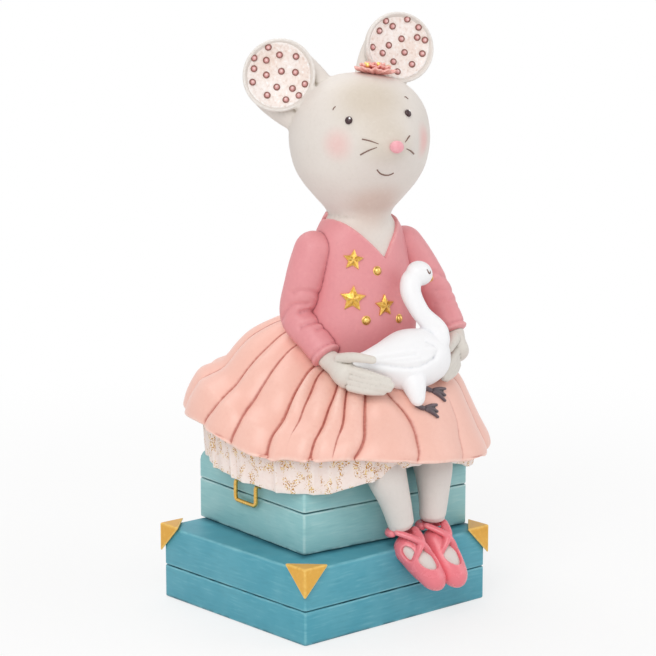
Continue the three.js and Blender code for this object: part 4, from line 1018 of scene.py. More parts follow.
@dataclass
class TravellingCase:
    """A case whose lid and tray meet along a seam.

    Attributes:
        name: Prefix of the two solids.
        width: Size along X.
        depth: Size along Y.
        base: Level of its underside.
        seam: Level of the tray's upper rim.
        top: Level of the lid's top.
        place: Where its own frame stands.
        paint: Its finish.
        crown: Rounding of the lid's upper edges.
        edge: Rounding of the upright edges.
        wall: Thickness of the walls.
    """

    name: str
    width: float
    depth: float
    base: float
    seam: float
    top: float
    place: Matrix
    paint: CastPaint
    crown: float = 1.1
    edge: float = 0.9
    wall: float = 3.2

    def _shell(self, name: str, low: float, high: float, crown: float) -> bpy.types.Object:
        """A block with rounded upright edges, an eased foot and a crown."""
        half = vec(self.width / 2, self.depth / 2, 0)

        def upright(a: Vector, b: Vector) -> bool:
            """Edges of the corners, up to the mitre of a crown."""
            if abs(a.z - b.z) < 1e-4:
                return False
            return all(abs((half.x - abs(p.x)) - (half.y - abs(p.y))) < 1e-3 for p in (a, b))

        def level(z: float) -> Callable[[Vector, Vector], bool]:
            """Edges at one height that lie on the outside."""
            return lambda a, b: abs(a.z - z) < 1e-4 and abs(b.z - z) < 1e-4

        ends = [(crown, level(high), 6), (0.4, level(low), 3)]
        return Bench.block(
            name, vec(-half.x, -half.y, low), vec(half.x, half.y, high),
            [*ends, (self.edge, upright, 4)],
        )

    def _hollow(self, low: float, high: float) -> bpy.types.Object:
        """The room inside the walls."""
        x, y = self.width / 2 - self.wall, self.depth / 2 - self.wall
        return Bench.block(
            "hollow", vec(-x, -y, low), vec(x, y, high), [(3, lambda a, b: abs(a.z - b.z) > 1, 5)]
        )

    def build(
        self,
        floor: float,
        tray_tools: Sequence[bpy.types.Object],
        lid_tools: Sequence[bpy.types.Object] = (),
    ) -> None:
        """Builds the tray and the lid.

        Args:
            floor: Level of the hollow's floor.
            tray_tools: Further cuts in the tray, in the maker's frame.
            lid_tools: Further cuts in the lid, in the maker's frame.
        """
        tray = self._shell(f"cast_{self.name}_tray", self.base, self.seam, 0.4)
        lid = self._shell(f"cast_{self.name}_lid", self.seam + CASE_GAP, self.top, self.crown)
        Bench.carve(tray, self._hollow(floor, self.seam + 2))
        Bench.carve(lid, self._hollow(self.seam - 1, self.top - self.wall))
        for obj, tools in ((tray, tray_tools), (lid, lid_tools)):
            Bench.place(obj, self.place)
            Bench.carve(obj, *tools)
            node = obj.name.removeprefix("cast_")
            settle(obj, self.paint, node, angle=32)


@dataclass
class CornerCap:
    """A gilt cap over one corner of the lower case."""

    side_x: int
    side_y: int
    leg: float = 9.6
    thick: float = 1.1
    round: float = 0.55

    def build(self, name: str, case: TravellingCase, paints: Palette) -> None:
        """Grows the case's corner, cuts it off along a plane and rounds what is left."""
        tip = vec(
            self.side_x * (
                case.width / 2 + self.thick
            ), self.side_y * (case.depth / 2 + self.thick), case.top + self.thick
        )
        reach = self.leg + self.thick
        inner = tip - vec(self.side_x * reach, self.side_y * reach, reach)
        low = vec(*(min(a, b) for a, b in zip(tip, inner)))
        high = vec(*(max(a, b) for a, b in zip(tip, inner)))
        cap = Bench.block(f"cast_{name}", low, high)
        Bench.edit(cap)
        outward = vec(self.side_x, self.side_y, 1).normalized()
        bpy.ops.mesh.bisect(
            plane_co=tip - vec(
                self.side_x * reach, 0, 0
            ), plane_no=outward, use_fill=True, clear_inner=True
        )
        bpy.ops.mesh.select_all(action="SELECT")
        bpy.ops.mesh.bevel(offset=self.round, segments=3, profile=0.5)
        Bench.close()
        half = vec(case.width / 2 + 0.05, case.depth / 2 + 0.05, 0)
        inside = Bench.block(
            "corner", vec(-half.x, -half.y, 0), vec(half.x, half.y, case.top + 0.05)
        )
        Bench.carve(cap, inside)
        Bench.fuse(cap, 0.2, 3)
        weather(cap, spread=3, gain=1.2, plain=0.1)
        settle(cap, paints.ochre, name)


@dataclass
class BailHandle:
    """A rod bent square, hung on the end of the upper case."""

    face: float = -34.6
    stand: float = 1.7
    half: float = 6.0
    top: float = 43.8
    drop: float = 7.0
    rod: float = 0.72
    bend: float = 1.5

    def build(self, case: TravellingCase, paints: Palette) -> None:
        """Draws the rod round its bends and adds the two round seats in the wall."""
        out, low = self.face - self.stand, self.top - self.drop
        corners = [
            vec(self.face + 1.2, self.half, self.top),
            vec(out, self.half, self.top),
            vec(out, self.half, low),
            vec(out, -self.half, low),
            vec(out, -self.half, self.top),
            vec(self.face + 1.2, -self.half, self.top),
        ]
        path = [corners[0]]
        for before, corner, after in zip(corners, corners[1:], corners[2:]):
            start = corner + (before - corner).normalized() * self.bend
            end = corner + (after - corner).normalized() * self.bend
            path += [
                start.lerp(corner, u).lerp(corner.lerp(end, u), u) for u in (
                    0, 0.2, 0.4, 0.6, 0.8, 1
                )
            ]
        path.append(corners[-1])
        rod = Limb(path, [self.rod] * 3, up=vec(0.3, 0.2, 1), sides=20, steps=120).build("rod")
        seats = [
            ball("seat", vec(0.5, 1.25, 1.25), Matrix.Translation(vec(self.face, y, self.top)), 12)
            for y in (-self.half, self.half)
        ]
        handle = Bench.fuse(Bench.join("cast_handle", [rod, *seats]), 0.16, 3)
        Bench.place(handle, case.place)
        weather(handle, spread=3, gain=0.9, plain=0.35)
        settle(handle, paints.gold, "case_handle")


@dataclass
class Stopper:
    """The rubber plug in the base, with a flange that fits a recess."""

    hole: float = 14.0
    flange: float = 17.6
    recess: float = 0.7
    thick: float = 1.6
    plug: float = 5.2
    clearance: float = 0.35

    def room(self) -> bpy.types.Object:
        """The stepped hole that the base keeps for it."""
        seat = self.recess + self.thick + 0.3
        wide, narrow = self.flange + self.clearance, self.hole
        return turned(
            "hole", [(0.01, -1), (wide, -1), (wide, seat), (narrow, seat), (narrow, 8), (0.01, 8)]
        )

    def build(self, paints: Palette) -> None:
        """Turns the stopper, with a finger groove in its underside."""
        low, seat, top = self.recess, self.recess + self.thick, self.recess + self.plug
        narrow = self.hole - self.clearance
        profile = [
            (0.05, low + 0.9), (4.2, low + 0.9), (4.6, low + 0.75), (4.9, low + 0.15), (5.2, low),
            (self.flange - 0.5, low), (self.flange - 0.15, low + 0.1), (self.flange, low + 0.4),
            (self.flange, seat - 0.3), (self.flange - 0.15, seat - 0.05), (self.flange - 0.4, seat),
            (narrow + 0.1, seat), (narrow, seat + 0.1), (narrow, seat + 1.2), (
                narrow + 0.25, seat + 1.6
            ),
            (narrow, seat + 2.0), (narrow, top - 0.7), (narrow - 0.7, top), (narrow - 1.6, top),
            (narrow - 1.8, top - 0.1), (narrow - 2.2, seat + 0.6), (0.05, seat + 0.6),
        ]
        stopper = turned("cast_stopper", profile, 96)
        weather(stopper, spread=1, gain=0.5)
        settle(stopper, paints.rubber, "stopper", body=Body.STOPPER, angle=30)


# Skirt and petticoat


def closed(rows: Sequence[tuple[float, ...]]) -> list[np.ndarray]:
    """A table over directions, carried on past half a turn at both ends."""
    points = [np.array(row, dtype=float) for row in rows]
    step = np.zeros(len(points[0]))
    step[0] = 360
    return [*(p - step for p in points[-2:]), *points, *(p + step for p in points[:2])]


def around(line: Sequence[np.ndarray], degrees: float) -> np.ndarray:
    """The smooth value of such a table in a direction."""
    angle = (degrees + 180) % 360 - 180
    k = next(n for n in range(1, len(line) - 2) if line[n][0] <= angle < line[n + 1][0])
    span = line[k + 1][0] - line[k][0]
    s = (angle - line[k][0]) / span
    slopes = [(line[n + 1] - line[n - 1]) / (line[n + 1][0] - line[n - 1][0]) for n in (k, k + 1)]
    return hermite(line[k], slopes[0], line[k + 1], slopes[1], s, span)


@dataclass
class Bell:
    """The smooth bell under the folds: flat at the back, falling over the knees in front.

    Directions run in degrees from the front, -Y, towards +X.
    """

    waist: Vector = field(default_factory=lambda: vec(8.2, -8.5, WAIST))
    centre: Vector = field(default_factory=lambda: vec(8.2, 2.8, SEAT))
    radius: float = 53.4
    waist_half: tuple[float, float] = (21.4, 17.6)
    lap_at: float = 49.0

    def __post_init__(self) -> None:
        """Prepares the outlines, as shares of the reach from the waist to the hem."""
        back = [
            (0, -0.05), (0.2, 0.01), (0.41, 0.15), (0.53, 0.29), (0.65, 0.48), (0.77, 0.56),
            (0.87, 0.63), (0.96, 0.83), (1, 1),
        ]
        front = [
            (0, 0.03), (0.3, 0.18), (0.56, 0.33), (0.71, 0.54), (0.84, 0.74), (0.97, 0.92), (1, 1)
        ]
        self._back = [np.array(p, dtype=float) for p in back]
        self._front = [np.array(p, dtype=float) for p in front]
        self._top = closed(
            [
                (-180, 4), (-131, 4), (-104, -2), (-72, -9.5), (-40, -10.4), (0, -9.4), (49, -4.4),
                (90, -3), (135, 2),
            ]
        )
        self._hem = closed(
            [
                (-180, 15.2), (-127, 15.4), (-103, 15), (-84, 11.4), (-67, 8), (-45, 8.6),
                (-25, 8.2), (0, 5.2), (28, 2.2), (50, 2.4), (90, 6), (135, 12),
            ]
        )

    def hem(self, degrees: float) -> float:
        """Height of the hem in a direction."""
        return self.centre.z + around(self._hem, degrees)[1]

    def _at(self, degrees: float, t: float) -> Vector:
        """A point on the bell's own surface."""
        turn = math.radians(degrees)
        front = (1 + math.cos(math.radians(degrees - self.lap_at))) / 2
        way = vec(math.sin(turn), -math.cos(turn), 0)
        start = vec(
            self.waist.x + self.waist_half[0] * way.x, self.waist.y + self.waist_half[1] * way.y, 0
        )
        end = vec(self.centre.x + self.radius * way.x, self.centre.y + self.radius * way.y, 0)
        out, down = follow(self._back, t) * (1 - front) + follow(self._front, t) * front
        place = start.lerp(end, out)
        top = self.waist.z + around(self._top, degrees)[1]
        return vec(place.x, place.y, mix(top, self.hem(degrees), down))

    def point(self, degrees: float, t: float, inset: float = 0.0, beyond: float = 0.0) -> Vector:
        """A point a share of the way to the hem, drawn in and carried on past the hem."""
        turn = math.radians(degrees)
        along = (self._at(degrees, t + 0.02) - self._at(degrees, t - 0.02)).normalized()
        outward = along.cross(vec(math.cos(turn), math.sin(turn), 0)).normalized()
        return self._at(degrees, t) - outward * inset + along * beyond

    def lap(self, x: float, y: float) -> Vector:
        """The point on the bell over a place on the lap."""
        grid = ((d, t / 60) for d in range(-90, 92, 2) for t in range(6, 58))
        spots = (self._at(d, t) for d, t in grid)
        return min(spots, key=lambda p: (p.x - x) ** 2 + (p.y - y) ** 2)


@dataclass(frozen=True)
class Valley:
    """A fold's valley: its direction and depth at even stations from the waist to the hem."""

    at: tuple[float, ...]
    depth: tuple[float, ...] = (0.3, 1.3, 1.9, 2.3, 2.4)

    def place(self, t: float) -> float:
        """Direction at a share of the way down."""
        return follow(self.at, t)

    def deep(self, t: float) -> float:
        """Depth at a share of the way down."""
        return max(follow(self.depth, t), 0.0)


@dataclass
class Skirt:
    """A heavy skirt that falls in folds over the knees."""

    bell: Bell
    thick: float = 1.7
    per_fold: int = 12
    rows: int = 34
    roundness: float = 0.72
    fullness: float = 1.1
    valleys: tuple[Valley, ...] = (
        Valley((-168, -168, -168, -168, -168)),
        Valley((-148, -148, -148, -148, -148)),
        Valley((-131, -129, -127, -126, -126)),
        Valley((-119, -107, -104, -99, -101), (0.3, 1.6, 2.3, 2.6, 2.3)),
        Valley((-103, -91, -88, -84, -84), (0.4, 1.6, 2.2, 2.5, 2.2)),
        Valley((-79, -71.5, -69, -68, -67.5), (0.9, 2.4, 2.4, 2.4, 2.2)),
        Valley((-71, -63, -61, -60, -60), (0.9, 2.0, 0.9, 0.2, 0.1)),
        Valley((-51, -48.5, -49.5, -50.5, -51), (0.8, 2.3, 2.2, 1.8, 1.7)),
        Valley((-44, -42, -41, -42, -43), (0.8, 2.0, 1.8, 0.8, 0.2)),
        Valley((-31, -31, -31.5, -32, -35), (0.8, 2.2, 2.2, 2.3, 2.8)),
        Valley((-22, -17.5, -9, -9, -10.5), (0.5, 1.4, 2.3, 2.4, 2.2)),
        Valley((14, 18, 19, 14, 12), (0.2, 0.4, 0.7, 1.2, 1.5)),
        Valley((38, 40, 40, 40, 40), (0.3, 0.7, 1.1, 1.6, 1.9)),
        Valley((62, 62, 62, 62, 62)),
        Valley((84, 84, 84, 84, 84)),
        Valley((104, 104, 104, 104, 104)),
        Valley((124, 124, 124, 124, 124)),
        Valley((146, 146, 146, 146, 146)),
    )

    def __post_init__(self) -> None:
        """Prepares how much the hem is drawn up or let down, in millimetres."""
        self._wave = closed(
            [
                (-180, 0.4), (-158, -0.5), (-138, 0.7), (-126, -0.6), (-113, 0.5), (-102, 0.9),
                (-93, -1.2), (-84, -0.9),
                (-75, 0.2), (-67.5, -1.5), (-61, 2.1), (-56, 1.5), (-51, -1.4), (-45, 0.9),
                (-39, 1.8), (-33, 1.7),
                (-21, -0.8), (-10, -0.7), (0, 0.6), (7.5, 1.5), (13, 0.4), (20, -1.4), (30, -0.6),
                (40, 0.3),
                (52, -0.6), (62, 0.6), (73, -0.6), (84, 0.6), (94, -0.5), (104, 0.6), (114, -0.5),
                (124, 0.6),
                (135, -0.5), (146, 0.6), (158, -0.6),
            ]
        )

    def _reach(self, degrees: float) -> float:
        """How far down the bell the hem lies in a direction."""
        return 1 - around(self._wave, degrees)[1] / 50

    def spots(self, t: float) -> list[tuple[float, float]]:
        """Directions over all folds at a share of the way down, each with its depth of fold."""
        found = []
        for k, valley in enumerate(self.valleys):
            after = self.valleys[(k + 1) % len(self.valleys)]
            start, end = valley.place(t), after.place(t) + (
                360 if k + 1 == len(self.valleys) else 0
            )
            for j in range(self.per_fold):
                share = (1 - math.cos(math.pi * j / self.per_fold)) / 2
                depth = mix(valley.deep(t), after.deep(t), ease(0, 1, share))
                fold = self.fullness * depth * (1 - math.sin(math.pi * share) ** self.roundness)
                found.append((mix(start, end, share), fold))
        return found

    def _ring(self, t: float, inset: float, folds: float, beyond: float = 0.0) -> Ring:
        """A ring round the bell."""
        return [
            self.bell.point(degrees, t * self._reach(degrees), inset + folds * fold, beyond)
            for degrees, fold in self.spots(t)
        ]

    def build(self, paints: Palette) -> None:
        """Drapes the cloth from the waist to the hem and back up inside."""
        rings = [self._ring(k / self.rows, 0, 1) for k in range(self.rows + 1)]
        lip = [(0.08, 0.35), (0.3, 0.62), (0.62, 0.8), (1.0, 0.78), (1.35, 0.6), (1.6, 0.3)]
        rings += [self._ring(1, inset, 1, beyond) for inset, beyond in lip]
        rings += [self._ring(1 - k / 12, self.thick, 1 - 0.3 * k / 12) for k in range(13)]
        skirt = Bench.skin("cast_skirt", rings, endless=True)
        Bench.smooth(skirt)
        # washes and painted shade in the fold valleys, dry brush and painted highlight on the
        # crests
        weather(skirt, spread=10, gain=2.4, plain=0.05)
        settle(skirt, paints.peach, "skirt")


@dataclass
class Petticoat:
    """A pleated petticoat with glitter that shows under the hem."""

    bell: Bell
    radius: float = 45.2
    flare: float = 1.2
    pleats: int = 46
    per_pleat: int = 10
    ridge: float = 1.15
    thick: float = 1.5

    def __post_init__(self) -> None:
        """Prepares its lower edge: height over the seat and reach beyond its own radius."""
        self._rim = closed(
            [
                (-180, 0.6, -1), (
                    -138, 0.6, -0.8
                ), (-97, -2, 0.6), (-71, -4, 1.4), (-57, -4.6, 1.7), (-43, -3.6, 1.4),
                (
                    -29, -0.8, 0.8
                ), (-12, 3, 0.4), (10, 2.6, 0), (25, -1, 0.8), (42, -4.2, 1.4), (60, -3.8, 0.8),
                (95, -2, 0), (138, 0.6, -0.8),
            ]
        )

    def _spots(self) -> list[tuple[float, float]]:
        """Directions round the band, each with its share of a pleat's ridge."""
        found = []
        width = 360 / self.pleats

        def side(k: int) -> float:
            """Direction in which a pleat begins, a little out of step with its neighbours."""
            n = k % self.pleats
            return k * width - 180 + 1.5 * math.sin(2.4 * n) + 0.8 * math.sin(5.1 * n)

        for k in range(self.pleats):
            start, end = side(k), side(k + 1)
            strength = 0.75 + 0.25 * math.sin(3.7 * k)
            for j in range(self.per_pleat):
                share = j / self.per_pleat
                crest = math.exp(-(((share - 0.5) / 0.16) ** 2)) * strength
                found.append(
                    (mix(start, end, share), crest - 0.25 * math.cos(2 * math.pi * share) ** 2)
                )
        return found

    def _band(self, down: float, out: float, depth: float, drop: float = 0.0) -> Ring:
        """A ring of the pleated band, a share of the way to its lower edge."""
        ring = []
        for degrees, crest in self._spots():
            _, lower, reach = around(self._rim, degrees)
            top = max(self.bell.hem(degrees) - 0.5, SEAT + lower + 2)
            turn = math.radians(degrees)
            radius = self.radius + reach + out + depth * crest
            height = mix(top, SEAT + lower, down) - drop + 0.25 * math.sin(0.31 * degrees) * down
            centre = self.bell.centre
            x, y = centre.x + radius * math.sin(turn), centre.y - radius * math.cos(turn)
            ring.append(vec(x, y, height))
        return ring

    def build(self, paints: Palette) -> None:
        """Builds the dome inside the skirt and the band, hollow from below."""
        top = [self.bell.point(degrees, 0.25, 7.4) for degrees, _ in self._spots()]
        for point in top:
            point.z = min(point.z, WAIST - 11)
        under = [
            [
                self.bell.point(degrees, t, 6.2) for degrees, _ in self._spots()
            ] for t in (0.5, 0.75, 0.92)
        ]
        rings = [top, *under]
        rings += [
            self._band(
                k / 8, self.flare * (1 - k / 8), self.ridge * (0.75 + 0.25 * k / 8)
            ) for k in range(9)
        ]
        for out, share, drop in ((-0.2, 1.0, 0.3), (-0.7, 0.8, 0.4), (-1.2, 0.6, 0.2)):
            rings.append(self._band(1, out, share * self.ridge, drop))
        rings += [self._band(down, -self.thick, depth) for down, depth in ((0.9, 0.4), (0.3, 0.2))]
        petticoat = Bench.skin("cast_petticoat", rings, (End.FLAT, End.FLAT))
        weather(petticoat, spread=2, gain=1.1, plain=0.1)
        settle(petticoat, paints.petticoat, "petticoat")


# Strokes and touches shared by the figure


@dataclass(frozen=True)
class Stroke:
    """A groove pressed into a surface; a negative depth raises a ridge instead."""

    through: Sequence[Vector]
    depth: float
    width: float


def press(obj: bpy.types.Object, strokes: Sequence[Stroke]) -> bpy.types.Object:
    """Presses strokes into a mesh along its own normals, at the nearest places of its skin."""
    mesh = obj.data
    points, normals = points_of(mesh)
    sunk = np.zeros(len(points))
    tree = tree_of([obj])
    for stroke in strokes:
        line = Line(stroke.through)
        places = np.array([tree.find_nearest(line.at(k / 48))[0] for k in range(49)])
        away = np.linalg.norm(points[:, None, :] - places[None], axis=2).min(1)
        sunk += stroke.depth * np.exp(-((away / stroke.width) ** 2))
    mesh.vertices.foreach_set("co", (points - normals * sunk[:, None]).ravel())
    mesh.update()
    return obj


# Head, ears and face


@dataclass
class Head:
    """The mouse's head: a long egg whose muzzle swells out in front.

    Attributes:
        snout: Reach of the muzzle in millimetres.
        outline: Height and radius, from the crown to the throat.
    """

    snout: float = 6.7
    sides: int = 96
    outline: tuple[tuple[float, float], ...] = (
        (21.9, 0.3), (20.8, 8), (16.9, 16.6), (10.9, 21.4), (4.9, 23.2), (-1.6, 23.5), (-9.5, 21.8),
        (-14.7, 18.9), (-19.9, 14.6), (-24.5, 10.9), (-31.6, 10.3), (-38.5, 10.1),
    )

    def __post_init__(self) -> None:
        """Lays the smooth outline."""
        self._line = Line([vec(radius, 0, height) for height, radius in self.outline])
        spots = [self._line.at(k / 200) for k in range(201)]
        self._drops, self._radii = [-p.z for p in spots], [p.x for p in spots]

    def _out(self, degrees: float, radius: float, height: float, beyond: float = 0.0) -> Vector:
        """A place at a radius, with the muzzle added."""
        off = (degrees + 180) % 360 - 180
        reach = radius + beyond + self.snout * math.exp(-((off / 26) ** 2) - (height / 8.5) ** 2)
        turn = math.radians(FACING + degrees)
        return HEAD + vec(reach * math.sin(turn), -reach * math.cos(turn), height)

    def at(self, degrees: float, height: float, beyond: float = 0.0) -> Vector:
        """A place on the skin, by its direction from the face and its height."""
        return self._out(
            degrees, float(np.interp(-height, self._drops, self._radii)), height, beyond
        )

    def frame(self, degrees: float, height: float, beyond: float = 0.0) -> Matrix:
        """A frame on the skin, with z out of it."""
        east = self.at(degrees + 1, height) - self.at(degrees - 1, height)
        rise = self.at(degrees, height + 0.5) - self.at(degrees, height - 0.5)
        outward = east.cross(rise).normalized()
        return frame_at(self.at(degrees, height) + outward * beyond, outward)

    def skull(self) -> bpy.types.Object:
        """Crown, cheeks, muzzle and throat."""
        rings = []
        for k in range(73):
            spot = self._line.at(k / 72)
            rings.append(circle(self.sides, lambda a: self._out(math.degrees(a), spot.x, spot.z)))
        return Bench.skin("skull", rings, (End.POINT, End.FLAT))

    def build(self, paints: Palette, ears: Sequence["Ear"], chest: bpy.types.Object) -> None:
        """The head in one skin with its ears and the skin under the neckline."""
        forms = [self.skull(), chest]
        for ear in ears:
            forms += ear.forms()
        head = Bench.fuse(Bench.join("cast_head", forms), 0.5, 9)
        weather(head, spread=5, gain=1.3, plain=0.2)
        settle(head, paints.fur, "head", "ear_right", "ear_left")

    def face(self, paints: Palette) -> None:
        """Nose, eyes, brows, whiskers and mouth."""
        nose = ball("cast_nose", vec(2.3, 2.05, 2.2), self.frame(0.6, -0.3, 0.9))
        settle(weather(nose), paints.nose, "nose")
        for name, degrees, height in (("right", -30.4, 7.6), ("left", 20.3, 9.4)):
            frame = self.frame(degrees, height, 0.3)
            eye = ball(f"cast_eye_{name}", vec(1.25, 1.32, 0.8), frame)
            settle(weather(eye), paints.eye, f"eye_{name}")
            glint = ball(
                f"glint_{name}", vec(0.34, 0.34, 0.14),
                frame @ Matrix.Translation(vec(0.42, 0.48, 0.66)),
            )
            settle(weather(glint), paints.glint)
        even, flick = (0.8, 1.0, 0.8), (0.55, 1.0, 1.15)
        lines = {
            "brow_right": ([(-45.7, 10.7), (-44.9, 11.5), (-43.6, 11.9)], 0.2, even),
            "brow_left": ([(27.9, 14.5), (29.8, 14.4), (31.5, 13.7)], 0.2, even),
            "mouth": (
                [(-8.8, -8.1), (-5.5, -9.5), (-0.6, -10.2), (3.7, -10.1), (6.2, -9.5)], 0.26, even
            ),
            "whisker_right_upper": ([(-9.9, 0.6), (-15, 1.5), (-20.4, 2.0)], 0.2, flick),
            "whisker_right_lower": ([(-10.9, -0.5), (-16, -1.6), (-21.6, -3.2)], 0.2, flick),
            "whisker_left_upper": ([(7.8, 0.9), (10.5, 2.0), (13.3, 2.8)], 0.2, flick),
            "whisker_left_lower": ([(9.2, -1.3), (14, -2.2), (19.9, -3.5)], 0.24, flick),
        }
        for name, (spots, thick, taper) in lines.items():
            through = [self.at(*spot, 0.05) for spot in spots]
            limb = Limb(through, [thick * share for share in taper], sides=8, steps=16)
            settle(weather(limb.build(name)), paints.line)


@dataclass
class Ear:
    """A dished ear with a dotted lining.

    Attributes:
        name: Right or left.
        side: How far it stands from the middle of the head.
        height: How far it stands above the middle of the head.
        lean: Degrees that it leans outwards.
        swing: Degrees that its dish looks outwards.
        dots: Places of the lining's dots in the ear's own frame.
    """

    name: str
    side: float
    height: float
    lean: float
    swing: float
    dots: tuple[tuple[float, float], ...]
    radius: float = 12.3
    lining: float = 10.8
    root: float = 1.0

    def __post_init__(self) -> None:
        """Sets the ear's frame: x across, y towards its tip, z out of its dish."""
        turn = math.radians(FACING)
        away = vec(math.cos(turn), math.sin(turn), 0) * self.side + vec(
            -math.sin(turn), math.cos(turn), 0
        ) * 5
        self._frame = (
            Matrix.Translation(HEAD + away + vec(0, 0, self.height))
            @ Matrix.Rotation(math.radians(FACING + self.swing), 4, "Z")
            @ Matrix.Rotation(math.radians(-self.lean), 4, "Y")
            @ Matrix.Rotation(math.radians(82), 4, "X")
        )
        self._dish = self._frame @ Matrix.Translation(vec(0, 0.7, 0))

    def forms(self) -> list[bpy.types.Object]:
        """The bowl with its rolled rim, and the root that runs into the head."""
        profile = [
            (1.5, -6.6), (5, -6.4), (8.6, -5.2), (11.2, -2.9), (12.3, -0.4), (12.6, 1.5),
            (12.45, 2.4),
            (12.0, 2.7), (11.5, 2.3), (11.25, 1.5), (9.5, 0.6), (6.5, -0.3), (2, -0.8),
        ]
        shape = [(r * self.radius / 12.6, z) for r, z in profile]
        bowl = Bench.place(
            turned("bowl", shape, 72), self._dish @ Matrix.Translation(vec(0.2, -0.3, 0))
        )
        Bench.place(bowl, self._frame @ Matrix.Diagonal((1, 0.97, 1, 1)) @ self._frame.inverted())
        root = Limb(
            [
                self._frame @ vec(0, y, z) for y,
                z in ((-25, -5), (-14, -5), (-6, -6.6), (2, -6.2), (9, -5.0))
            ],
            [
                reach * self.root for reach in (7.6, 10.4, 12.0, 12.0, 9.0)
            ], (0.75, 0.28), self._frame.to_3x3() @ vec(0, 0, 1), ends=(0.6, 0.9),
        )
        return [bowl, root.build("root")]

    def build(self, paints: Palette) -> None:
        """The lining and its dots."""
        profile = [
            (0.6, -0.32), (3, -0.26), (6, 0.1), (8.5, 0.72), (10.1, 1.4), (10.6, 1.72), (
                self.lining, 1.5
            ),
            (10.7, 0.9), (9, 0.1), (5, -0.9), (1, -1.2),
        ]
        lining = Bench.place(turned(f"cast_lining_{self.name}", profile, 72), self._dish)
        weather(lining, spread=2, gain=0.8)
        settle(lining, paints.lining, f"ear_lining_{self.name}")
        spots = []
        for x, y in self.dots:
            reach = math.hypot(x, y - 0.7)
            pull = min(1.0, 9.6 / max(reach, 0.01))
            x, y = x * pull, (y - 0.7) * pull
            share = math.hypot(x, y) / 10.6
            at = vec(x, y, -0.32 + 2.0 * share**2.4)
            tilt = -0.42 * share**1.4
            outward = UPRIGHT + (vec(x, y, 0).normalized() * tilt if share > 0.05 else vec(0, 0, 0))
            place = self._dish @ frame_at(at, outward, vec(0, 1, 0.01))
            shape = [
                (1.14, -0.5), (1.17, 0.05), (1.1, 0.3), (0.97, 0.36), (0.86, 0.24), (0.8, 0.14),
                (0.74, 0.24), (0.64, 0.44), (0.44, 0.64), (0.18, 0.74),
            ]
            dot = mark(
                turned("dot", shape, 20), "wash_and_shade", lambda p: ease(0.66, 0.82, math.hypot(p.x, p.y))
            )
            # a painted highlight on each dot, off its centre
            mark(dot, "ridge", lambda p: 1 - ease(0.15, 0.5, math.hypot(p.x - 0.12, p.y - 0.12)))
            spots.append(Bench.place(dot, place))
        dots = Bench.join(f"dots_{self.name}", spots)
        settle(dots, paints.dots)


@dataclass
class HairFlower:
    """A ruffled flower on the crown, in three tiers of petals with gold beads."""

    place: Matrix = field(
        default_factory=lambda: Matrix.Translation(
            vec(10.96, -12.9, 180.0)
        ) @ Matrix.Rotation(math.radians(7), 4, "Y")
    )
    petals: int = 9

    def _tier(self, radius: float, low: float, rise: float, turn: float) -> bpy.types.Object:
        """One ruffled tier, whose petals lift towards their tips."""
        stations = (
            (0.15, 0.1, 0.6), (0.5, 0.3, 0.7), (0.8, 0.8, 0.7), (0.96, 1.0, 0.65), (1.02, 1.0, 0.4),
            (1.0, 1.0, 0.1), (0.9, 0.85, 0), (0.7, 0.55, 0), (0.4, 0.15, 0), (0.12, 0, 0),
        )

        def point(share: float, lift: float, thick: float, a: float) -> Vector:
            """The point in a direction, at a share of the petals' reach."""
            wave = math.cos(self.petals * (a + turn))
            reach = radius * share * (1 - 0.12 * share**2 * (0.5 - 0.5 * wave) ** 1.5)
            ruffle = 0.22 * share**3 * math.cos(2 * self.petals * (a + turn) + 1)
            height = low + rise * lift + thick + ruffle + 0.25 * share * wave
            return vec(reach * math.sin(a), -reach * math.cos(a), height)

        rings = [circle(self.petals * 12, partial(point, *station)) for station in stations]
        return Bench.skin("tier", rings)

    def build(self, paints: Palette) -> None:
        """Builds the tiers and the beads."""
        tiers = [
            self._tier(7.0, 0.0, 1.3, 0.0), self._tier(5.3, 1.0, 1.5, 0.35),
            self._tier(3.2, 2.0, 1.2, 0.1),
        ]
        flower = Bench.place(Bench.join("cast_flower", tiers), self.place)
        settle(weather(flower, spread=2), paints.coral, "hair_flower")
        for k, (degrees, reach) in enumerate(
            ((-150, 3.2), (-75, 4.6), (-20, 2.4), (60, 4.4)), start=1
        ):
            turn = math.radians(degrees)
            at = self.place @ vec(
                reach * math.sin(turn), -reach * math.cos(turn), 3 * (1.28 - 0.085 * reach) + 0.1
            )
            bead = ball(f"cast_bead_{k}", vec(0.9, 0.9, 0.9), Matrix.Translation(at), 10)
            settle(weather(bead), paints.gold, f"flower_bead_{k}")


EARS = (
    Ear("right", -26.4, 20.6, 48, -14, (
        (4.8, 9.3), (-1.1, 10.9), (1.1, 6.8), (5.3, 4.7), (8.5, 0.3), (-3.7, 8), (-2.5, 3.6),
        (1.7, 0.7),
        (4.5, -3), (-7.3, 5.4), (-3.2, -1.6), (-0.1, -5.8), (3.7, -7.9), (-7.3, -1), (-4.3, -6.6),
        (-0.5, -10.5),
    )),
    Ear("left", 15.6, 29, -24, -5, (
        (-8.4, 7.4), (-0.7, 10.7), (4.8, 10.9), (-4.4, 6.2), (-8.3, 2.8), (0.3, 3.7), (5.1, 6.2),
        (10.2, 8.1),
        (-3.1, -0.1), (-8.6, -3.3), (-4.3, -3.5), (3, -0.1), (8.7, 1.8), (0.4, -4.6), (6.7, -2.9),
        (2.7, -7.3),
    ), root=0.8),
)


# Trunk, arms and swan


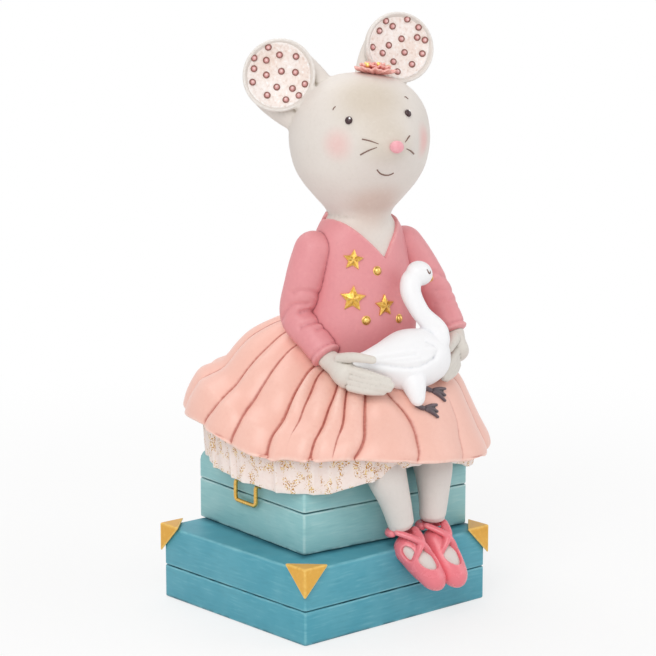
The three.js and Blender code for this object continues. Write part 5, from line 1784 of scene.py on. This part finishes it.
@dataclass
class Torso:
    """The trunk as oval rings: drop below the neckline, half width, half depth and set forward."""

    rows: tuple[tuple[float, float, float, float], ...] = (
        (
            51.1, 20.2, 15.2, 0.4
        ), (36.0, 21, 16.2, 0.8), (26.7, 19.2, 15.6, 0.8), (18.0, 18.4, 14.2, 0.4),
        (11.3, 17.8, 12.6, 0), (6.7, 16.6, 11.8, 0), (2.85, 14, 11.2, 0), (0, 11.3, 10.9, 0),
    )

    def __post_init__(self) -> None:
        """Lays the smooth outline."""
        line = Line([vec(wide, deep, -below) for below, wide, deep, _ in self.rows])
        self._spots = [line.at(k / 60) for k in range(61)]

    def size(self, below: float) -> tuple[float, float, float]:
        """Half width, half depth and set forward at a drop below the neckline."""
        heights = [p.z for p in self._spots]
        wide, deep = (
            float(np.interp(-below, heights, [p[k] for p in self._spots])) for k in (0, 1)
        )
        forward = float(np.interp(-below, [-r[0] for r in self.rows], [r[3] for r in self.rows]))
        return wide, deep, forward

    def skin(self, name: str, low: float, inset: float) -> bpy.types.Object:
        """The trunk from a drop up to the neckline, drawn in by an inset."""
        rings = []
        for k in range(41):
            below = low * (1 - k / 40) ** 1.4
            wide, deep, forward = self.size(below)
            wide, deep, height = wide - inset, deep - inset, -below - inset * 0.3
            rings.append(
                circle(
                    72,
                    lambda a: FIGURE + vec(wide * math.cos(a), deep * math.sin(a) - forward, height)
                )
            )
        return Bench.skin(name, rings, (End.FLAT, End.FLAT))

    def neckline(self) -> bpy.types.Object:
        """The V cut out of the front."""
        rows = ((14.6, 0.05), (9.6, 4.6), (5.2, 9.0), (0.6, 13.6), (-3, 17.0))
        rings = []
        for y in (-34.0, -26.0, -18.0, -10.0, 0.0):
            behind = 8.0 if y == 0 else 0.0
            left = [vec(FIGURE.x - half, FIGURE.y + y + behind, FIGURE.z - z) for z, half in rows]
            right = [vec(FIGURE.x + half, FIGURE.y + y, FIGURE.z - z) for z, half in reversed(rows)]
            rings.append(left + right)
        return Bench.skin("neckline", rings, (End.FLAT, End.FLAT))

    def frame(self, across: float, below: float) -> Matrix:
        """A frame on the front, with z out of it."""
        wide, deep, forward = self.size(below)
        turn = math.asin(across / wide)
        slope = 0.8 * (self.size(below + 1)[1] - self.size(below - 1)[1]) / 2
        place = vec(FIGURE.x + across, FIGURE.y - forward - deep * math.cos(turn), FIGURE.z - below)
        return frame_at(place, vec(math.sin(turn) / wide, -math.cos(turn) / deep, slope / deep))

    def build(self, paints: Palette, arms: Sequence[bpy.types.Object]) -> None:
        """The bodice with its V neckline."""
        bodice = Bench.carve(self.skin("cast_bodice", 51.1, 0.0), self.neckline())
        Bench.fuse(bodice, 0.45, 4)
        # painted shade where the sleeves meet the bodice
        weather(bodice, spread=4, gain=1.2, against=arms, reach=1.3)
        settle(bodice, paints.rose, "bodice")

    def trim(self, paints: Palette) -> None:
        """Gold stars and studs."""
        stars = (
            ("top", -11.9, 14.4, 3.6, 8), ("right", -13.5, 27, 4.5, 4), ("left", -3.5, 29.8, 3.8, 0)
        )
        for name, across, below, radius, turn in stars:
            rings = []
            for share, height in (
                (1, -0.9), (1.0, 0.3), (0.96, 0.52), (0.88, 0.62), (0.5, 0.95), (0.15, 1.25)
            ):
                ring = []
                for k in range(10):
                    reach = radius * share * (0.5 if k % 2 else 1)
                    angle = math.radians(36 * k + turn)
                    ring.append(vec(reach * math.sin(angle), reach * math.cos(angle), height))
                rings.append(
                    [
                        p for a,
                        b in zip(ring, ring[1:] + ring[:1]) for p in (
                            a, a.lerp(b, 0.33), a.lerp(b, 0.67)
                        )
                    ]
                )
            star = Bench.place(Bench.skin(f"cast_star_{name}", rings), self.frame(across, below))
            settle(weather(star, spread=0), paints.gold, f"star_{name}", angle=25)
        for name, across, below in (
            ("top", -4.7, 18.3), ("right", -10.2, 34.2), ("left", 2.8, 34.8)
        ):
            shape = [
                (1.55, -0.6), (1.6, 0.05), (1.45, 0.25), (1.25, 0.25), (1.12, 0.5), (0.8, 0.85),
                (0.35, 1.05),
            ]
            stud = Bench.place(turned(f"cast_stud_{name}", shape, 32), self.frame(across, below))
            settle(weather(stud, spread=1), paints.gold, f"stud_{name}")


@dataclass
class Arm:
    """A sleeved arm and its hand on the swan."""

    name: str
    shoulder: Vector
    elbow: Vector
    wrist: Vector
    knuckles: Vector
    tips: Vector
    thumb: Vector

    @property
    def out(self) -> float:
        """-1 for the right arm, 1 for the left."""
        return -1.0 if self.name == "right" else 1.0

    def sleeve(self) -> bpy.types.Object:
        """The sleeve, creased at its elbow, with a turned cuff."""
        upper = self.shoulder.lerp(self.elbow, 0.55) + vec(1.4 * self.out, 0, 0)
        fore = self.elbow.lerp(self.wrist, 0.55)
        limb = Limb(
            [self.shoulder + vec(0, 0, 2), upper, self.elbow, fore, self.wrist],
            [6.2, 6.5, 6.2, 5.6, 5.0], up=vec(0, 1, 0.3), sides=48, steps=48, ends=(1.0, 0.25),
        )
        sleeve = Bench.fuse(limb.build(f"cast_sleeve_{self.name}"), 0.5, 3)
        way = (self.wrist - self.elbow).normalized()
        side = way.cross(vec(0, 0, 1)).normalized()
        rise = side.cross(way)
        cuff = self.wrist - way * 2.6

        def wrap(
            centre: Vector, reach: float, start: float, end: float, drift: Vector
        ) -> list[Vector]:
            """A line round the arm, which drifts along it."""
            around_arm = []
            for k in range(7):
                t = mix(start, end, k / 6)
                around_arm.append(
                    centre + (side * math.cos(t) + rise * math.sin(t)) * reach + drift * (k / 6)
                )
            return around_arm

        still, whole = vec(0, 0, 0), 6.28
        strokes = [Stroke(wrap(cuff, 5.2, 0, whole, still), 0.45, 0.55)]
        strokes.append(Stroke(wrap(cuff + way * 1.2, 5.2, 0, whole, still), -0.3, 0.7))
        for k, (share, start, end, depth) in enumerate((
            (0.1, 0.9, 3.3, 0.8), (0.32, 0.4, 2.6, 0.7), (0.52, 1.2, 3.6, 0.5), (
                -0.08, -0.4, 1.5, 0.6
            ),
        )):
            centre = self.elbow.lerp(self.wrist, share)
            depth *= 1.0 if self.name == "right" else 0.45
            strokes.append(Stroke(wrap(centre, 5.9, start, end, way * (2.5 - k)), depth, 0.9))
        bend = self.shoulder.lerp(self.elbow, 0.72)
        strokes.append(
            Stroke(
                wrap(bend, 6.4, 0.3, 2.4, (self.elbow - self.shoulder).normalized() * 5), 0.6, 1.0
            )
        )
        return press(sleeve, strokes)

    def hand(self, paints: Palette, against: Sequence[bpy.types.Object]) -> None:
        """The hand with four fingers laid round the swan, and a thumb."""
        reach = (self.tips - self.knuckles).normalized()
        back = (self.elbow - self.wrist).normalized() * 1.8
        middle = self.wrist.lerp(self.knuckles, 0.55)
        palm = [self.wrist + back, self.wrist, middle, self.knuckles]
        forms = [Limb(palm, [3.5, 3.7, 4.9, 4.9], up=vec(0, 1, 0.2), ends=(0.4, 0.7)).build("palm")]
        for k in range(4):
            lift = vec(0, 0, (1.5 - k) * 1.95)
            root = self.knuckles - reach * 3.2 + lift
            tip = self.knuckles.lerp(self.tips, (0.98, 1.06, 1.0, 0.84)[k]) + lift * 0.66
            mid = root.lerp(tip, 0.5) + reach * 0.6 + vec(-0.7, -1.4, 0)
            forms.append(Limb([root, mid, tip], [1.6, 1.7, 1.15], sides=20).build("finger"))
        root = self.wrist.lerp(self.knuckles, 0.3) + (
            vec(-1.6, -2.0, 2.4) if self.out < 0 else vec(-1.0, -1.0, 2)
        )
        mid = root.lerp(self.thumb, 0.55) + vec(1.4 * self.out, 0, 1)
        forms.append(Limb([root, mid, self.thumb], [1.9, 1.7, 1.3], sides=20).build("thumb"))
        hand = Bench.fuse(Bench.join(f"cast_hand_{self.name}", forms), 0.3, 7)
        # painted shade where the hand meets its sleeve
        weather(hand, spread=4, gain=1.1, plain=0.35, against=against, reach=0.9)
        settle(hand, paints.hand, f"hand_{self.name}")


ARMS = (
    Arm("right", vec(-8.4, -6.9, 126.9), vec(-14.6, -3.5, 100.6), vec(-13.2, -17.0, 88.0),
        vec(-13.6, -31.0, 83.2), vec(-6.2, -40.8, 80.9), vec(-12.6, -39.9, 90.6)),
    Arm("left", vec(23.6, -9.0, 125.0), vec(35.6, -16.5, 105.5), vec(36.2, -25.9, 91.7),
        vec(30.7, -31.9, 84.5), vec(19.0, -38.1, 80.5), vec(23.2, -36.5, 88.9)),
)


@dataclass
class Swan:
    """The swan in the mouse's hands, its neck raised and its beak on its breast."""

    turn: float = -9.0
    length: float = 19.5

    def along(self, share: float, side: float, rise: float) -> Vector:
        """A place of the body, by its share of the length, its side and its height."""
        x, turn = share * self.length, math.radians(self.turn)
        return SWAN + vec(
            x * math.cos(turn) - side * math.sin(turn), x * math.sin(turn) + side * math.cos(turn),
            rise,
        )

    def _feathers(self) -> list[Stroke]:
        """The wing's outline and three rows of feathers, on the side seen from the front."""
        at = self.along
        wing = [at(0.35, -7.2, 3.4), at(0.05, -8.2, 4.4), at(-0.4, -7.2, 4.6), at(-0.85, -4.6, 3.6)]
        under = [
            at(0.42, -8.0, 0.6), at(0.1, -9.4, -1.8), at(-0.35, -8.0, -1.6), at(-0.8, -4.8, 0.4)
        ]
        feathers = [
            [at(0.1, -9.3, 1.2), at(-0.2, -8.8, 0.8), at(-0.62, -6.6, 1.2)],
            [at(0.0, -8.9, 2.8), at(-0.3, -8.2, 2.6), at(-0.72, -5.8, 2.4)],
            [at(0.16, -9.3, -0.4), at(-0.15, -9.2, -0.6), at(-0.55, -7.2, -0.2)],
        ]
        strokes = [Stroke(under, 0.85, 0.8), Stroke(wing, -0.35, 1.2)]
        strokes += [Stroke(line, 0.32, 0.6) for line in feathers]
        return strokes + [
            Stroke([at(0.42, -8.0, 0.6), at(0.5, -6.8, 3.4), at(0.3, -5.6, 5.6)], 0.5, 0.8)
        ]

    def build(self, paints: Palette, bell: Bell) -> None:
        """Body, neck, beak and feet."""
        at = self.along
        body = Limb(
            [
                at(share, 0, rise) for share,
                rise in ((-0.98, 1.6), (-0.6, 0.2), (0, -0.6), (0.55, -0.4), (0.95, 1.6))
            ],
            [1.3, 4.7, 8.2, 8, 5.2], (1.2, 1.2), sides=48, steps=40,
        )
        bends = (
            (0.62, -1, 1), (0.7, -0.5, 7.5), (0.42, 1.5, 15), (
                0.33, 4.2, 21.5
            ), (0.4, 5, 25.5), (0.5, 5, 27),
        )
        neck = Limb(
            [at(*bend) for bend in bends], [6.6, 4.4, 3.2, 3.2, 3.5, 3.6], up=vec(0.2, 1, 0),
            steps=40
        )
        head_at = at(0.54, 5, 26.8)
        tilt = Matrix.Rotation(math.radians(8), 4, "Z") @ Matrix.Rotation(math.radians(22), 4, "Y")
        skull = ball("skull", vec(5, 4.1, 4.1), Matrix.Translation(head_at) @ tilt)
        thigh = Limb([at(0.08, -3, -4), at(0.06, -6.5, -9), at(0.06, -9, -14.6)], [5.3, 3.8, 2.0])
        swan = Bench.join(
            "cast_swan", [body.build("body"), neck.build("neck"), skull, thigh.build("thigh")]
        )
        press(Bench.fuse(swan, 0.4, 5), self._feathers())
        weather(swan, spread=4, gain=0.7, plain=0.3)
        skin = tree_of([swan])
        settle(swan, paints.swan_white, "swan_body")

        ridge = [head_at + vec(*p) for p in ((3.2, 0.6, -1), (5.4, 1.1, -1.9), (7.3, 2, -3.7))]
        gape = [head_at + vec(*p) for p in ((3.4, -1.2, -1.8), (5.4, -0.4, -2.5), (7.2, 1.2, -4.0))]
        shape = Limb(ridge, [1.9, 1.5, 0.75], (0.75, 0.6), steps=16).build("cast_beak")
        press(shape, [Stroke(gape, 0.3, 0.3)])
        settle(weather(shape), paints.beak, "swan_beak")
        centre, right = head_at + vec(0.75, -3.3, 0.8), vec(0.75, -0.66, 0)
        spots = [(-1.3, 0.45), (-0.7, -0.35), (0.1, -0.6), (0.8, -0.2), (1.3, 0.55)]
        on_skin = [skin.find_nearest(centre + right * a + UPRIGHT * b)[0] for a, b in spots]
        lid = Limb(on_skin, [0.14, 0.26, 0.26, 0.24, 0.14], sides=8, steps=16)
        settle(weather(lid.build("swan_lid")), paints.line)
        for name, start, end in (
            ("near", (-4.6, -32.6), (5.2, -34)), ("far", (3, -29), (11.2, -30.8))
        ):
            self._foot(name, bell, start, end, paints)

    def _foot(
        self, name: str, bell: Bell, start: tuple[float, float], end: tuple[float, float],
        paints: Palette,
    ) -> None:
        """A webbed foot that lies on the skirt: shank, three toes and the web between them."""

        def on_lap(x: float, y: float) -> Vector:
            """A place just above the lap, by its distance from the figure's middle."""
            return bell.lap(FIGURE.x + x, FIGURE.y + y) + vec(0, 0, 0.8)

        a, b = on_lap(*start), on_lap(*end)
        way = (b - a).normalized()
        side = way.cross(vec(-0.3, -0.75, 0.6)).normalized()
        fork = a.lerp(b, 0.4)
        forms = [
            Limb(
                [a + vec(0, 0, 0.8), a.lerp(b, 0.2), fork], [1.0, 0.8, 0.9], sides=16
            ).build("shank")
        ]
        tips = [fork.lerp(b, 1.0) + side * spread for spread in (-2.6, 0.0, 2.2)]
        for tip in tips:
            forms.append(
                Limb(
                    [fork, fork.lerp(tip, 0.5) + vec(0, 0, 0.3), tip], [0.85, 0.7, 0.5], sides=16
                ).build("toe")
            )
        webs = [p.lerp(q, 0.5).lerp(fork, 0.22) for p, q in zip(tips, tips[1:])]
        outline = [
            fork - side * 0.6, tips[0].lerp(fork, 0.12), webs[0], tips[1],
            webs[1], tips[2].lerp(fork, 0.12), fork + side * 0.6, fork - way * 0.4,
        ]
        forms.append(
            Bench.skin("web", [[p + vec(0, 0, h) for p in outline] for h in (-0.35, 0.0, 0.35)])
        )
        foot = Bench.fuse(Bench.join(f"cast_foot_{name}", forms), 0.22, 2)
        settle(weather(foot, spread=2), paints.web, f"swan_foot_{name}")


# Legs and shoes


@dataclass
class Leg:
    """A leg in tights and its ballet shoe."""

    name: str
    knee: Vector
    ankle: Vector
    way: Vector

    def __post_init__(self) -> None:
        """Finds the heel and the shoe's own directions."""
        self.way = self.way.normalized()
        self.heel = self.ankle + vec(0, 2.2, -3.2)
        self.side = self.way.cross(UPRIGHT).normalized()
        self.out = -1.0 if self.name == "right" else 1.0

    def at(self, share: float, rise: float, side: float = 0.0) -> Vector:
        """A place of the foot, by its share of the length and its height over the sole's line."""
        return self.heel + self.way * share * 22.5 + vec(0, -0.75, 0.66) * rise + self.side * side

    def _foot(self, margin: float) -> Limb:
        """The foot, or the shoe round it."""
        places = ((0, 0), (0.3, 0.4), (0.62, -0.2), (0.85, -0.9), (1, -1.4))
        return Limb(
            [self.at(share, rise) for share, rise in places],
            [3.4, 3.9, 4.2, 3.7, 2.6], (1.05, 0.8), sides=48, steps=40, margin=margin,
        )

    def build(self, paints: Palette) -> None:
        """The leg in its tights, then the shoe on it."""
        middle = self.knee.lerp(self.ankle, 0.5) + vec(0, -0.6, 0)
        thigh = [self.knee + vec(0, 17, 9), self.knee + vec(0, 3, 7.5)]
        shin = Limb(
            [*thigh, self.knee, middle, self.ankle],
            [6, 6.9, 6.9, 5.3, 4.3], up=vec(1, 0, 0), sides=48, steps=40, ends=(0.5, 0.5),
        )
        leg = Bench.join(
            f"cast_leg_{self.name}", [shin.build("shin"), self._foot(0.0).build("foot")]
        )
        Bench.fuse(leg, 0.45, 5)
        fold = [
            self.ankle + vec(4.3 * math.sin(t), -4.3 * math.cos(t), 1.6 + 0.5 * math.sin(2 * t))
            for t in (-1.4, -0.7, 0, 0.7, 1.4)
        ]
        weather(press(leg, [Stroke(fold, 0.25, 0.5)]), spread=4, gain=1.1, plain=0.3)
        settle(leg, paints.tights, f"leg_{self.name}")

        shoe = self._foot(1.3).build(f"cast_shoe_{self.name}")
        instep, inner_side = self.at(0.5, 5), self.at(0.3, 1.4, 4.4 * -self.out)
        for name, radius, place in (
            ("opening", vec(3.7, 5.0, 6.5), instep), ("side", vec(3.0, 3.0, 1.9), inner_side)
        ):
            Bench.carve(shoe, ball(name, radius, Matrix.Translation(place) @ self._turned()))
        straps = []
        for out in (-1, 1):
            start, end = self.at(0.5, 1) + vec(4.3 * out, 0, 0), self.ankle + vec(
                -4.4 * out, -0.6, 0.4
            )
            straps.append(
                Limb(
                    [start, start.lerp(end, 0.5) + vec(0, -3.6, 1.8), end], [1.5, 1.55, 1.4],
                    (0.7, 0.7), steps=20,
                )
            )
        places = (
            (-3.9, -0.4, -0.6), (-3.3, 3.0, -1.0), (0, 4.4, -1.0), (3.3, 3.0, -1.0),
            (3.9, -0.4, -0.6),
        )
        band = [self.ankle + vec(*place) for place in places]
        straps.append(Limb(band, [1.3, 1.5, 1.6, 1.5, 1.3], steps=20))
        Bench.join(shoe.name, [shoe] + [strap.build("strap") for strap in straps])
        Bench.fuse(shoe, 0.3, 6)
        sides = ((0.0, 0), (0.3, 3.6), (0.7, 3.9), (0.98, 1.5))
        seam = [self.at(share, -4.4, side * self.out) for share, side in sides]
        press(shoe, [Stroke(seam, 0.3, 0.4)])
        weather(shoe, spread=4, gain=1.0, plain=0.4)
        settle(shoe, paints.shoe, f"shoe_{self.name}")

    def _turned(self) -> Matrix:
        """The direction of the foot as a rotation, with y along it."""
        return frame_at(vec(0, 0, 0), self.side.cross(self.way), self.way)


LEGS = (
    Leg("right", vec(-3.8, -35.3, 50.8), vec(1.9, -37.3, 31.1), vec(7.5, -17.8, -16.8)),
    Leg("left", vec(17.5, -35.3, 50.8), vec(15.5, -37.3, 31.1), vec(1.2, -17.8, -16.8)),
)


# Stage


@dataclass
class Stage:
    """Camera, lights and a pale floor."""

    eye: Vector = field(default_factory=lambda: vec(-480.3, -549.2, 224.6))
    target: Vector = field(default_factory=lambda: vec(0.99, -0.87, 94.41))
    lens: float = 120.0
    floor_size: float = 9.0

    def camera(self) -> None:
        """The photograph's view of the money box."""
        data = bpy.data.cameras.new("camera")
        data.lens = self.lens
        data.clip_start, data.clip_end = 0.01, 20
        camera = bpy.data.objects.new("camera", data)
        bpy.context.scene.collection.objects.link(camera)
        camera.location = (self.eye + SHIFT) * MM
        camera.rotation_euler = (self.target - self.eye).to_track_quat("-Z", "Y").to_euler()
        bpy.context.scene.camera = camera

    def lamp(
        self, name: str, place: Vector, size: float, power: float, colour: Colour = (1, 1, 1)
    ) -> None:
        """A square soft box that faces the middle of the figure."""
        data = bpy.data.lights.new(name, "AREA")
        data.size, data.energy, data.color = size, power, colour
        lamp = bpy.data.objects.new(name, data)
        bpy.context.scene.collection.objects.link(lamp)
        lamp.location = place
        lamp.rotation_euler = (vec(0, 0, 0.1) - place).to_track_quat("-Z", "Y").to_euler()

    def _backdrop(self, shader: Shader, lit: Value) -> Value:
        """White for the camera and for reflections, and the lit surface for the rest."""
        path = {
            name: shader.node(
                "ShaderNodeLightPath", output=name
            ) for name in ("Is Camera Ray", "Is Glossy Ray")
        }
        seen = path["Is Camera Ray"].most(path["Is Glossy Ray"])
        white = shader.node("ShaderNodeEmission", inputs={"Color": (1, 1, 1, 1), "Strength": 1.0})
        far = shader.near(vec(0, 0, 0), 110, 420)
        return shader.node(
            "ShaderNodeMixShader", inputs={0: seen * (1.0 - far * 0.3), 1: lit, 2: white}
        )

    def floor(self) -> None:
        """A plain pale floor that keeps the shadow."""
        Bench.clear()
        bpy.ops.mesh.primitive_plane_add(size=self.floor_size, location=(0, 0, -0.0002))
        floor = bpy.context.active_object
        floor.name = "floor"
        shader = Shader("floor")
        lit = shader.node("ShaderNodeBsdfDiffuse", inputs={"Color": (0.93, 0.93, 0.93, 1)})
        shader.end(self._backdrop(shader, lit))
        floor.data.materials.append(shader.material)

    def world(self) -> None:
        """Even light all round, and white behind the money box."""
        world = bpy.data.worlds.new("world")
        world.use_nodes = True
        tree = world.node_tree
        tree.nodes.clear()
        path = tree.nodes.new("ShaderNodeLightPath")
        seen = tree.nodes.new("ShaderNodeMath")
        seen.operation = "MAXIMUM"
        tree.links.new(path.outputs["Is Camera Ray"], seen.inputs[0])
        tree.links.new(path.outputs["Is Glossy Ray"], seen.inputs[1])
        both = tree.nodes.new("ShaderNodeMixShader")
        for index, strength in ((1, 0.5), (2, 1.0)):
            light = tree.nodes.new("ShaderNodeBackground")
            light.inputs["Color"].default_value = (1, 1, 1, 1)
            light.inputs["Strength"].default_value = strength
            tree.links.new(light.outputs[0], both.inputs[index])
        tree.links.new(seen.outputs[0], both.inputs[0])
        end = tree.nodes.new("ShaderNodeOutputWorld")
        tree.links.new(both.outputs[0], end.inputs["Surface"])
        bpy.context.scene.world = world

    def build(self) -> None:
        """Sets the whole stage."""
        self.camera()
        self.floor()
        self.world()
        self.lamp("key", vec(-0.75, -0.55, 0.75), 0.7, 5.6, (1.0, 0.99, 0.97))
        self.lamp("fill", vec(0.75, -0.65, 0.45), 0.8, 2.1)
        self.lamp("top", vec(0.05, 0.35, 0.95), 0.7, 2.6)
        bpy.context.scene.view_settings.view_transform = "Standard"


def main() -> None:
    """Builds the stage and every piece of the money box."""
    logging.basicConfig(level=logging.INFO, format="%(name)s: %(message)s")
    Bench.clear()
    Stage().build()
    paints = Palette()

    width, depth, height = LOWER_SIZE
    lower = TravellingCase(
        "lower_case", width, depth, 0, LOWER_SEAM, height, Matrix(), paints.dark_teal
    )
    (width, depth, _), (x, y, foot) = UPPER_SIZE, UPPER_FOOT
    upper_at = Matrix.Translation(vec(x, y, 0)) @ Matrix.Rotation(UPPER_TURN, 4, "Z")
    upper = TravellingCase(
        "upper_case", width, depth, foot, UPPER_SEAM, SEAT, upper_at, paints.light_teal, crown=5.2
    )
    stopper = Stopper()
    throats = [
        Bench.place(
            Bench.block("throat", vec(-23, -19, 20), vec(23, 19, 30)), upper_at
        ) for _ in range(2)
    ]
    slot = Bench.place(Bench.block("slot", vec(-18, 24, 31.4), vec(18, 36, 36.2)), upper_at)
    lower.build(4.6, [stopper.room()], throats[:1])
    upper.build(28.5, [throats[1], slot])
    for name, side_x, side_y in (
        ("front_right", -1, -1), ("front_left", 1, -1), ("back_right", -1, 1)
    ):
        CornerCap(side_x, side_y).build(f"case_corner_{name}", lower, paints)
    BailHandle().build(upper, paints)
    stopper.build(paints)

    bell = Bell()
    Skirt(bell).build(paints)
    Petticoat(bell).build(paints)

    torso = Torso()
    head = Head()
    head.build(paints, EARS, torso.skin("chest", 27.0, 1.2))
    head.face(paints)
    for ear in EARS:
        ear.build(paints)
    HairFlower().build(paints)
    sleeves = [arm.sleeve() for arm in ARMS]
    torso.build(paints, sleeves)
    torso.trim(paints)
    for arm, sleeve in zip(ARMS, sleeves):
        arm.hand(paints, [sleeve])
        weather(sleeve, spread=4, gain=1.2)
        settle(sleeve, paints.rose, f"sleeve_{arm.name}")
    Swan().build(paints, bell)
    for leg in LEGS:
        leg.build(paints)


if __name__ == "__main__":
    main()
